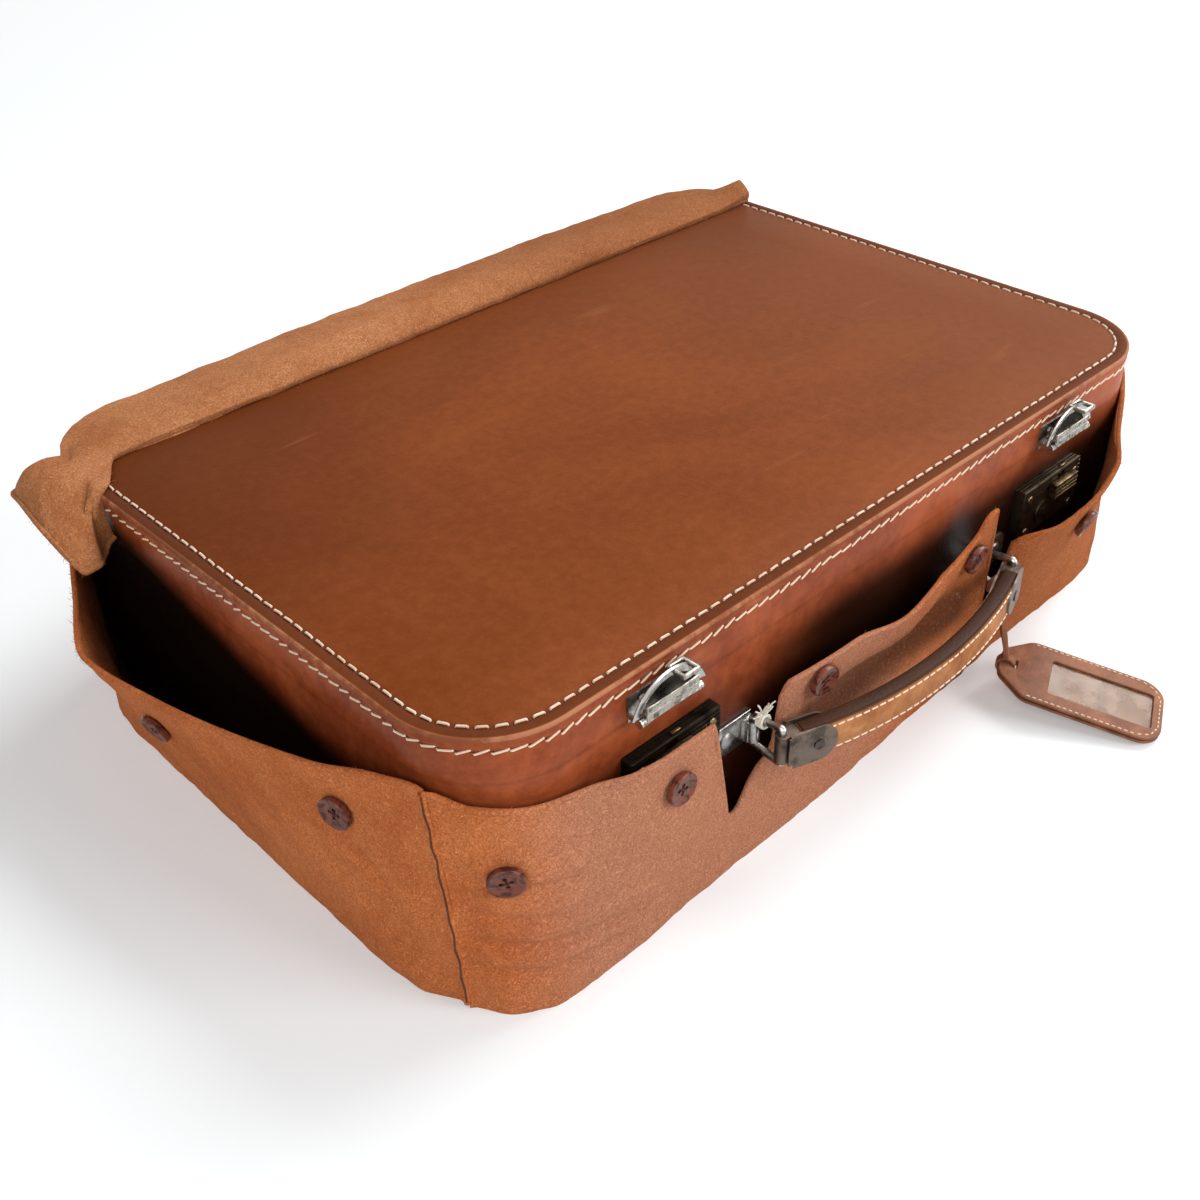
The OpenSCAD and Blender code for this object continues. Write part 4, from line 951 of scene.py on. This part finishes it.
def new_tag_layer(name, low, high, window):
    """One leather layer of the tag, drawn flat with the strap's eye at the origin."""
    layer = block(name, (-3, -22.5, low), (77, 22.5, high))
    cut_across((11, 0, 0), (1, 0, 0))
    pick("VERT", lambda point, normal: point.x < -2)
    bpy.ops.transform.resize(value=(1, 0.4, 1), center_override=(0, 0, 0))
    pick("EDGE", lambda middle, direction: abs(direction.z) > 0.9 and middle.x > 70)
    bpy.ops.mesh.bevel(offset=12 * mm, segments=12, affect="EDGES")
    pick("EDGE", lambda middle, direction: abs(direction.z) > 0.9 and middle.x < 20)
    bpy.ops.mesh.bevel(offset=3 * mm, segments=4, affect="EDGES")
    cut_with(layer, softened_block("slot", (3, -3.2, -9), (5.6, 3.2, 9), 0.4))
    if window:
        hole = block("hole", (22, -13, -9), (72, 13, 9))
        pick("EDGE", upright)
        bpy.ops.mesh.bevel(offset=1.5 * mm, segments=3, affect="EDGES")
        cut_with(layer, hole)
    soften(layer, 0.4, 3, 50)
    layer.data.transform(tag_place)
    return layer


for name, node_name, low, high, window in (("tag_back_hide", "tag_back", -1.8, -0.4, False),
                                           ("tag_front_hide", "tag_front", 0.4, 1.8, True)):
    layer = close(new_tag_layer(name, low, high, window), tag_hide, "tag")
    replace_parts(layer, node_name)

places = []
for x0, x1, y0, y1 in ((12, 65, 20.7, 20.7), (12, 65, -20.7, -20.7), (75.2, 75.2, -11, 11),
                       (65.4, 72, 20.6, 17.6), (72, 75, 17.6, 11),
                       (65.4, 72, -20.6, -17.6), (72, 75, -17.6, -11)):
    start, end = Vector((x0, y0, 1.85)), Vector((x1, y1, 1.85))
    count = round((end - start).length / 3)
    places += [tag_place @ stand(start.lerp(end, (k + 0.5) / count), end - start, up) for k in range(count)]
close(set_out(new_stitch(1.9, 0.3), "tag_stitches", places), thread, "tag")

card, tree, shader, place = new_finish("aged_card", Roughness=0.75)
foxing, fibre = mottle(tree, place, 90.0, 6.0, 0.7), mottle(tree, place, 900.0, 3.0)
paper = tint(tree, span(tree, foxing, 0.35, 0.65), hue(178, 154, 137), hue(146, 116, 98))
lay(tree, shader, tint(tree, times(tree, fibre, 0.3), paper, hue(140, 104, 80)), fibre, 0.0001)
dress(card, "tag_card")

sheet_clear, tree, shader, place = new_finish("clear_sheet", Transmission_Weight=1.0, IOR=1.3)
smear = mottle(tree, place, 70.0, 5.0)
lay(tree, shader, tint(tree, smear, hue(250, 244, 232), hue(236, 222, 200)),
    rough=span(tree, smear, 0.3, 0.75, 0.12, 0.4))
dress(sheet_clear, "tag_window")


def new_sheet(name, points, faces):
    """A thin piece from its points and faces."""
    mesh = bpy.data.meshes.new(name)
    mesh.from_pydata([point * mm for point in points], [], faces)
    piece = bpy.data.objects.new(name, mesh)
    bpy.context.collection.objects.link(piece)
    return piece


def band(name, path, across, thickness):
    """A narrow flat strap along a path, its width at each point given by a half-width arrow."""
    points = [spot + way * arrow for spot, arrow in zip(path, across) for way in (-1, 1)]
    piece = new_sheet(name, points, [(k, k + 1, k + 3, k + 2) for k in range(0, len(points) - 2, 2)])
    thicken(piece, thickness, 0)
    soften(piece, 0.3)
    return piece


head, wide_top = Vector((79, -174, 53.275)), Vector((0, 2.5, 0))
loop = rounded_path([head + Vector((x, 0, z))
                     for x, z in ((-3.9, 0.7), (3.9, 0.7), (3.9, 6.3), (-3.9, 6.3))], 1.5)
top_eye = band("tag_strap_hide", loop + loop[:1], [wide_top] * (len(loop) + 1), 1.4)
along_tag, beside_tag = Vector((0.423, -0.906, 0)), Vector((0.906, 0.423, 0))
low_loop = [tag_at + 4.2 * (along_tag * math.sin(a) + up * math.cos(a))
            for a in [k * math.pi / 12 for k in range(25)]]
low_eye = band("low_eye", low_loop, [beside_tag * 2.5] * 25, 1.2)
tenths = [k / 10 for k in range(11)]
run = [head.lerp(tag_at + up * 4.2, t) + Vector((0, -0.8 * math.sin(math.pi * t), 0)) for t in tenths]
turned = [Matrix.Rotation(tag_turn * t, 3, "Z") @ wide_top for t in tenths]
strap = join("tag_strap_hide", top_eye, low_eye, band("run", run, turned, 2.6))
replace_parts(close(strap, tag_hide, "tag_strap"), "tag_strap")


# Cloth cover
# Thick napped cloth, cut in panels and sewn at the corners: a floor, four walls, and a long flap that
# is thrown back over the lid's rear edge. The front wall is slit twice for the handle.
half_l, half_w = case_l / 2, case_w / 2
cloth_t, seam_x, back_top = 2, 234, 107
rim_roll, seam_roll = 1.35, 1.7


def glide(x, stations, column):
    """Curve through stations of a place and its values, with no overshoot between them."""
    k = 0
    while k < len(stations) - 2 and x >= stations[k + 1][0]:
        k += 1

    def rate(i):
        return (stations[i + 1][column] - stations[i][column]) / (stations[i + 1][0] - stations[i][0])

    def slope(i):
        if i <= 0 or i >= len(stations) - 1 or rate(i - 1) * rate(i) <= 0:
            return 0
        return 2 * rate(i - 1) * rate(i) / (rate(i - 1) + rate(i))

    h = stations[k + 1][0] - stations[k][0]
    t = min(1, max(0, (x - stations[k][0]) / h))
    return ((2 * t ** 3 - 3 * t ** 2 + 1) * stations[k][column] + (t ** 3 - 2 * t ** 2 + t) * h * slope(k)
            + (3 * t ** 2 - 2 * t ** 3) * stations[k + 1][column] + (t ** 3 - t ** 2) * h * slope(k + 1))


def columns(stations, step):
    """Every station and even steps of about the given size between them."""
    places = []
    for (a, *_), (b, *_) in zip(stations, stations[1:]):
        count = math.ceil((b - a) / step - 0.1)
        places += [a + (b - a) * k / count for k in range(count)]
    return places + [stations[-1][0]]


def ease(share):
    share = min(1, max(0, share))
    return share * share * (3 - 2 * share)


def bulge(offset, width):
    """A smooth bump that is 1 at no offset and dies away within its width."""
    return math.exp(-(offset / width) ** 2)


nap, given, result = new_effect("cloth_nap", ("Tone", "Curl", "Tips", "Height"))
blotch = mottle(nap, given["Place"], 18.0, 4.0, 0.6)
curl = mottle(nap, given["Place"], 520.0, 3.0, 0.75, 2.6)
hairs = mottle(nap, given["Place"], 1100.0, 2.0, 0.8, 1.0)
matted = mottle(nap, given["Place"], 95.0, 4.0, 0.7, 0.8)
tone = calc(nap, "MULTIPLY_ADD", matted, 0.3, times(nap, blotch, 0.7))
curled = calc(nap, "MULTIPLY_ADD", hairs, 0.4, times(nap, curl, 0.6))
height = calc(nap, "MULTIPLY_ADD", hairs, 0.2, times(nap, matted, 0.9))
for label, value in (("Tone", span(nap, tone, 0.32, 0.68)), ("Curl", span(nap, curled, 0.36, 0.62)),
                     ("Tips", span(nap, curl, 0.54, 0.7)),
                     ("Height", calc(nap, "ADD", times(nap, curl, 0.55), height))):
    nap.links.new(value, result[label])


def new_cloth_finish(name, pale, mid, deep):
    """Napped cloth between a deep and a pale colour."""
    finish, tree, shader, place = new_finish(name, Roughness=0.97, Specular_IOR_Level=0.08, Sheen_Weight=0.22,
                                             Sheen_Roughness=0.5, Sheen_Tint=hue(236, 164, 116))
    felt = effect(tree, nap, place)
    body = stained(
        tree, place, tint(tree, felt["Tone"], mid, pale),
        # faded at the front left, darker to the right with painted shade, and a painted shadow in the fold of
        # the tongue
        (0.8, hue(196, 140, 114), ("X", -0.24, -0.18), ("Y", -0.14, -0.17), ("X", 0.05, -0.03)),
        (0.55, hue(134, 76, 42), ("X", -0.01, 0.09)),
        (0.85, hue(46, 24, 13), ("X", -0.079, -0.061), ("X", 0.069, 0.051),
         ("Z", 0.04, 0.054), ("Z", 0.074, 0.064), ("Y", -0.15, -0.16)),
        (0.6, deep, calc(tree, "SUBTRACT", 1.0, felt["Curl"])),
        (0.35, hue(238, 178, 138), felt["Tips"]))
    lay(tree, shader, body, felt["Height"], 0.0014)
    return finish


cover_cloth = new_cloth_finish("cover_cloth", hue(230, 136, 78), hue(198, 103, 50), hue(110, 48, 19))
flap_cloth = new_cloth_finish("flap_cloth", hue(208, 142, 96), hue(174, 106, 62), hue(100, 52, 25))


def cloth_panel(name, grid, thickness, lumps=0.7, rolls=()):
    """A panel of cloth from columns of points on its outer face, with its felted rolls along its edges."""
    count = len(grid[0])
    corners = [i * count + j for i in range(len(grid) - 1) for j in range(count - 1)]
    piece = new_sheet(name, [point for column in grid for point in column],
                      [(k, k + count, k + count + 1, k + 1) for k in corners])
    for point in piece.data.vertices:
        push = noise.fractal(point.co * 55, 0.8, 2.0, 3) * lumps + noise.noise(point.co * 240) * 0.12
        point.co += point.normal * push * mm
    thicken(piece, thickness)
    soften(piece, 0.55, angle=55)
    return join(name, piece, *[wire("roll", path, radius, sides=2) for path, radius in rolls])


# Stations of the front wall: place along it, how far it stands out at its foot and at its rim, and
# how far its rim lies below the lid's top
front_stations = [
    (-234, -13, -26, 25), (-225, 1, -12, 29), (-205, 11.5, 2, 33), (-180, 12.5, 8, 35),
    (-164, 12.5, 12.5, 37), (-146, 11.5, 14, 37.5), (-124, 10.5, 14, 37.5), (-123, 10.5, 14, 41),
    (-119.5, 10.5, 13, 56), (-116, 10.5, 12, 71), (-113, 10.5, 11.5, 86), (-111, 10.5, 11, 96),
    (-107, 10.5, 11, 99), (-103, 10.5, 11, 97), (-97, 10.5, 11, 88), (-91, 10.5, 11, 82),
    (-85, 10.5, 11, 79), (-83, 10.5, 12, 72), (-81.5, 10.5, 13.5, 48), (-78, 10.5, 14.5, 42),
    (-40, 10, 17, 42), (0, 8, 16, 51), (30, 6, 16, 41), (50, 5.5, 16, 33), (62, 5.5, 15, 26),
    (68, 5.5, 14, 27), (71, 5.5, 12, 60), (73.5, 5.5, 10, 84), (79, 4.5, 9, 91), (84, 4.5, 9, 86),
    (86.5, 4.5, 11, 74), (89, 4.5, 14, 55), (94, 3.5, 18, 52), (111, 2.5, 26, 50), (134, 2.5, 28, 46),
    (161, 2.5, 24, 40), (181, 2.5, 12, 33), (203, 0, 0, 24), (224, -15, -14, 18), (234, -34, -24, 15)]


def front_rim(x):
    return case_top - glide(x, front_stations, 3)


def front_reach(x, v):
    """How far the front wall stands out, with its creases by the left seam and the valley of the tongue."""
    a, b = glide(x, front_stations, 1), glide(x, front_stations, 2)
    away = x + seam_x
    ripple = math.sin(2 * math.pi * (4.2 * v + 0.011 * away)) * math.sin(math.pi * v) ** 2
    crease = 1.3 * ripple * bulge(away, 60)
    for start, fall, reach in ((0.66, 0.0012, 44), (0.52, 0.002, 60), (0.38, 0.0024, 70), (0.24, 0.0018, 56)):
        crease -= 3.8 * bulge(v - start + fall * away, 0.03) * bulge(away, reach)
    valley = 7.5 * bulge(v - 0.7, 0.11) * max(0, 1 - ((x + 5) / 70) ** 2)
    return a + (b - a) * v ** 1.3 + crease * ease(away / 8) - valley


def front_point(x, v):
    return Vector((x, -(half_w + front_reach(x, v)), v * front_rim(x)))


def seam(end, low):
    """The sewn edge of the front wall at one end, where the side wall joins it."""
    return [front_point(end, low + (1 - low) * k / 14) + Vector((0, 1, 0)) for k in range(15)]


def shares(count):
    """Even shares from 0 to 1."""
    return [k / count for k in range(count + 1)]


front_rim_path = [front_point(x, 1) + Vector((0, 1, 0)) for x in columns(front_stations, 3)]
front = cloth_panel("cover_front_panel", [[front_point(x, v) for v in shares(60)]
                                          for x in columns(front_stations, 2.4)], cloth_t,
                    rolls=((front_rim_path, rim_roll), (seam(-seam_x, 0.02), seam_roll),
                           (seam(seam_x, 0.02), seam_roll)))
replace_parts(close(front, cover_cloth, "base", 60), "cover_front")
# A dark wire sunk along the left front seam: partly the seam's dark thread, partly a painted shadow line in
# its groove
seam_thread_and_shadow = mottled("seam_thread_and_shadow", 300.0, hue(58, 28, 15), hue(104, 56, 32), Roughness=0.95)
sunk = [spot + Vector((-1.4 + 0.5 * math.sin(9 * k), -1.3, 0)) for k, spot in enumerate(seam(-seam_x, 0.04))]
close(wire("corner_seam_thread_and_shadow", sunk, 0.42, sides=2), seam_thread_and_shadow, "base", 60)

# The back wall has the same stations on both halves: place, and how far it stands out at foot and rim
back_half = [
    (0, 11, 29.5), (100, 11, 28), (130, 10, 23), (160, 9, 15), (187, 7, 9), (200, 5, 6), (217, -2, -1),
    (229, -14, -13), (234, -27, -27)]
back_stations = [(-x, foot, rim) for x, foot, rim in back_half[:0:-1]] + back_half


def back_reach(x, v):
    a, b = glide(x, back_stations, 1), glide(x, back_stations, 2)
    return a + (b - a) * v


def back_point(x, v):
    return Vector((x, half_w + back_reach(x, v), v * back_top))


def back_seam(end):
    return [back_point(end, 0.02 + 0.98 * t) - Vector((0, 1, 0)) for t in shares(14)]


back = cloth_panel("cover_back_panel", [[back_point(-x, v) for v in shares(30)]
                                        for x in columns(back_stations, 5)], cloth_t,
                   rolls=((back_seam(-seam_x), seam_roll), (back_seam(seam_x), seam_roll)))
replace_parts(close(back, cover_cloth, "base", 60), "cover_back")

left_stations = [
    (0, 3.2, 3.2, 25), (0.07, 12, 9, 26), (0.18, 14, 19, 32), (0.52, 14, 37, 43), (0.7, 14, 42, 46),
    (0.84, 14, 26, 38), (0.95, 11, 10, 27), (1, 3.2, 3.2, 27)]
right_stations = [
    (0, 3.2, 3.2, 15), (0.07, 6, 6, 16), (0.18, 8, 7, 20), (0.52, 8, 11, 27), (0.85, 8, 10, 24),
    (1, 3.2, 3.2, 27)]
cloth_in = 2.3


def side_point(side, stations, s, v):
    """A point of a side wall, from its front seam to its back seam and from its foot to its rim."""
    y0 = -(half_w + front_reach(side * seam_x, v) - cloth_in)
    y1 = half_w + back_reach(side * seam_x, v) - cloth_in
    a, b = glide(s, stations, 1), glide(s, stations, 2)
    crease = 1.5 * math.sin(math.radians(1800 * s)) * v * (1 - v) * (1 - s) * s * 8
    if side < 0:
        fade = bulge(s, 0.26) * ease(s / 0.05) * math.sin(math.pi * v)
        for rise in (2.3, 4.2):
            crease -= 4.5 * bulge(v - rise * s, 0.07) * fade
    return Vector((side * (half_l + a + (b - a) * v ** 1.3 + crease), y0 + (y1 - y0) * s,
                   v * (case_top - glide(s, stations, 3))))


for name, side, stations, area in (("left", -1, left_stations, 0.0285), ("right", 1, right_stations, 0.0297)):
    along = columns(stations, 0.0125)
    if side < 0:
        along.reverse()
    rim = [side_point(side, stations, s, 1) - Vector((side, 0, 0)) for s in along]
    wall = cloth_panel("cover_%s_panel" % name, [[side_point(side, stations, s, v) for v in shares(30)]
                                                 for s in along], cloth_t, rolls=((rim, rim_roll),))
    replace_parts(close(wall, cover_cloth, "base", 60), "cover_" + name)

# Stations of the flap from its fold on the lid to its rear edge, and of its hanging left corner
flap_stations = [
    (0, -42, 0.4), (0.07, -43, 3), (0.18, -39, 8.5), (0.32, -29, 12), (0.5, -14, 10), (0.66, 2.5, 6),
    (0.8, 11.5, -3), (0.92, 22, -14), (1, 29.5, -21)]
ear_stations = [
    (0, -232, 89, 112, -3.5, 0), (0.07, -235.5, 88, 111, -9, 1.5), (0.14, -241, 84, 108, -11, 2),
    (0.2, -248, 73.6, 111.6, -12, 2), (0.28, -254, 73, 111.5, -16, 5), (0.4, -257, 84, 116.6, -18, 7),
    (0.52, -258, 98.4, 122.2, -19, 7), (0.66, -256, 123.7, 125.7, -19, 7),
    (0.78, -253, 140, 122, -19, 7), (0.88, -245, 150, 117, -19, 7), (1, -238, 152, 110.5, -19, 7)]
flap_end, over_edge = 229, 0.66


def flap_face(x, v):
    """A point of the flap, which rolls back over the lid and bends down past the lid's edge."""
    y, height = glide(v, flap_stations, 1), glide(v, flap_stations, 2)
    round_corner = max(0, abs(x) - half_l + corner_r)
    drawn = corner_r - math.sqrt(max(0, corner_r * corner_r - round_corner * round_corner))
    scale = 1 - 0.55 * ease((-x - 80.85) / 115.5) - 0.4 * ease((x - 80.85) / 92.4)
    lift = 6 * bulge(x - flap_end, 14) * math.sin(math.pi * min(1, v * 2))
    y -= 24 * ease((-x - 210) / 20) * (1 - ease(v / 0.5))
    if v < over_edge:
        y = half_w + y - drawn * ease((v - 0.2) / 0.46)
    else:
        y = half_w + 2.5 - drawn + (y - 2.5) * (back_reach(x, 1) + 1 + drawn - 2.5) / 27
    if height > 0.4:
        height = max(min(height, 3.6), height * scale)
    return Vector((x, y, case_top + height + lift))


def ear_point(u, v):
    """A point of the flap's left corner, which bows out and hangs over the side."""
    cx, cy, cz, out, rise = [glide(v, ear_stations, k) for k in range(1, 6)]
    a = flap_face(-flap_end, v)
    return bow(a, a + Vector((out + 8 * bulge(v - 0.19, 0.035), 0, rise)), Vector((cx, cy, cz)), u)


down, flap_xs = shares(66), [flap_end * (2 * t - 1) for t in shares(110)]
flap = cloth_panel("cover_flap_fold", [[ear_point(k / 16, v) for v in down] for k in range(16, 0, -1)]
                   + [[flap_face(x, v) for v in down] for x in flap_xs], 3,
                   rolls=(([flap_face(x, 0) + Vector((0, 0.8, 1.2)) for x in flap_xs], 1.3),
                          ([ear_point(1, v) for v in down], 1.3)))
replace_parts(close(flap, flap_cloth, "base", 60), "cover_flap")
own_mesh(flap)

drop_right, drop_left = 184.8, -150.15
drop_panel = []
for t in shares(95):
    x = drop_right + (drop_left - drop_right) * t
    y, wave = half_w + back_reach(x, 1) + cloth_in, 6 + 2.5 * math.sin(math.radians(360 * x / 92))
    drop_panel.append([Vector((x, y + wave * (1 - v), 0.6 + v * 108.25)) for v in shares(30)])
drop = cloth_panel("cover_flap_hang", drop_panel, cloth_t, 0.3)
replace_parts(close(drop, flap_cloth, "base", 60), "cover_flap_drop")


# Buttons
# Four-hole buttons of marbled brown horn with a raised rim, sewn on with dark thread.
horn, tree, shader, place = new_finish("marbled_horn", Specular_IOR_Level=0.28, Coat_Weight=0.15,
                                       Coat_Roughness=0.14)
swirl = mottle(tree, place, 130.0, 5.0, 0.5, 2.5)
lay(tree, shader, tint(tree, span(tree, swirl, 0.38, 0.6), hue(66, 27, 19), hue(116, 58, 41)),
    rough=span(tree, swirl, 0.3, 0.7, 0.22, 0.4))

button = rod("button", 40, 7.5, 3, (0, 0, 1.5))
pick("FACE", lambda middle, normal: normal.z > 0.9)
step_in((0, 0, 1), (0.5, 0), (0.8, -0.1), (0.6, -0.5), (0.8, -0.25), (1.5, -0.1))
pick("EDGE", lambda middle, direction: middle.xy.length > 7.3 and abs(direction.z) < 0.1)
bpy.ops.mesh.bevel(offset=0.6 * mm, segments=3, affect="EDGES")
for x, y in ((1.5, 1.5), (-1.5, 1.5), (-1.5, -1.5), (1.5, -1.5)):
    cut_with(button, rod("hole", 12, 0.9, 8, (x, y, 0)))

# Each button stands just off the cloth and square to it: its point, and the ways along and up the wall
found = []
for x, z in ((-219, 71), (-144, 76), (-60, 82), (50, 88), (138, 70)):
    v = z / front_rim(x)
    across = front_point(x + 1, z / front_rim(x + 1)) - front_point(x - 1, z / front_rim(x - 1))
    found.append((front_point(x, v), across, front_point(x, v + 0.02) - front_point(x, v - 0.02)))
for side, stations in ((-1, left_stations), (1, right_stations)):
    for s, z in ((0.15, 81), (0.59, 60)):
        v = z / (case_top - glide(s, stations, 3))
        across = side * (side_point(side, stations, s + 0.01, v) - side_point(side, stations, s - 0.01, v))
        rise = side_point(side, stations, s, v + 0.02) - side_point(side, stations, s, v - 0.02)
        found.append((side_point(side, stations, s, v), across, rise))
spots = []
for spot, across, rise in found:
    out = across.cross(rise).normalized()
    spots.append(stand(spot + out * 0.75, across, out) @ Matrix.Rotation(hand.uniform(0, 1.5), 4, "Z"))
buttons = close(set_out(button, "horn_buttons", spots), horn, "base")
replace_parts(buttons, "cover_buttons")

sewing = []
for where in spots:
    for turn in (45, -45):
        across = where @ Matrix.Rotation(math.radians(turn), 4, "Z")
        arc = [across @ (Vector((x, 0, z)) * mm) / mm
               for x, z in ((-2, 0.2), (-2, 1.6), (-1.2, 2.5), (1.2, 2.5), (2, 1.6), (2, 0.2))]
        sewing.append(wire("stitch", arc, 0.2, sides=1))
close(join("button_thread", *sewing), hole_shade_and_thread, "base", 60)


# Floor panel of the cover
# The same cloth, cut to the foot of the walls and lying flat under the case.
inward = Vector((0, cloth_in, 0))
ends = half_l + 0.4
outline = [front_point(x, 0) + inward for x in columns(front_stations, 6) if abs(x) < ends]
outline += [side_point(1, right_stations, k / 48, 0) - Vector((cloth_in, 0, 0)) for k in range(1, 48)]
outline += [back_point(-x, 0) - inward for x in columns(back_stations, 12) if abs(x) < ends]
outline += [side_point(-1, left_stations, k / 48, 0) + Vector((cloth_in, 0, 0)) for k in range(47, 0, -1)]
base_cloth = new_sheet("cover_floor_panel", [Vector((p.x, p.y, cloth_t)) for p in outline],
                       [list(range(len(outline)))])
thicken(base_cloth, cloth_t)
soften(base_cloth, 0.5, angle=55)
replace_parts(close(base_cloth, cover_cloth, "base", 60), "cover_bottom")


# Loose fibres of the worn nap
# Short curled hairs stand out of the cloth's cut edges, thickest along the rims that are handled.
def new_hair():
    """One hair that curls over towards X."""
    let_go()
    bpy.ops.mesh.primitive_cone_add(vertices=3, radius1=0.17 * mm, radius2=0.05 * mm, depth=3 * mm,
                                    location=(0, 0, 1.5 * mm))
    piece = begin("hair")
    for z in (1, 2):
        cut_across((0, 0, z), (0, 0, 1))
    for low, lean, fall in ((0.9, 0.25, 0), (1.9, 0.55, -0.2)):
        pick("VERT", lambda point, normal: point.z > low)
        bpy.ops.transform.translate(value=(lean * mm, 0, fall * mm))
    bpy.ops.object.mode_set(mode="OBJECT")
    return piece


def fray(name, edge, finish):
    """Loose fibres along an edge, each leaning its own way."""
    tufts = []
    for spot, out in edge:
        for k in range(2):
            stray = Vector([hand.uniform(-0.8, 0.8) for axis in range(3)])
            turn = (out.normalized() + stray).to_track_quat("Z", "X").to_matrix().to_4x4()
            near = spot + Vector([hand.uniform(-0.9, 0.9) for axis in range(3)])
            tufts.append(Matrix.Translation(near * mm) @ turn @ Matrix.Scale(hand.uniform(0.35, 1.0), 4))
    return close(set_out(new_hair(), name, tufts), finish, "base", 60)


rims = [(spot, Vector((0, -1, 0.9))) for spot in front_rim_path]
for side, stations in ((-1, left_stations), (1, right_stations)):
    rims += [(side_point(side, stations, k / 150, 1), Vector((side, 0, 0.9))) for k in range(4, 147)]
fray("rim_fibres", rims, cover_cloth)
fold_edge = [(flap_face(flap_end * (2 * t - 1), 0), Vector((0, -1, 0.5))) for t in shares(220)]
fold_edge += [(ear_point(1, 0.1 + k / 90), Vector((-0.6, -0.3, -0.8))) for k in range(50)]
fold_fibres = fray("fold_fibres", fold_edge, flap_cloth)
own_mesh(fold_fibres)
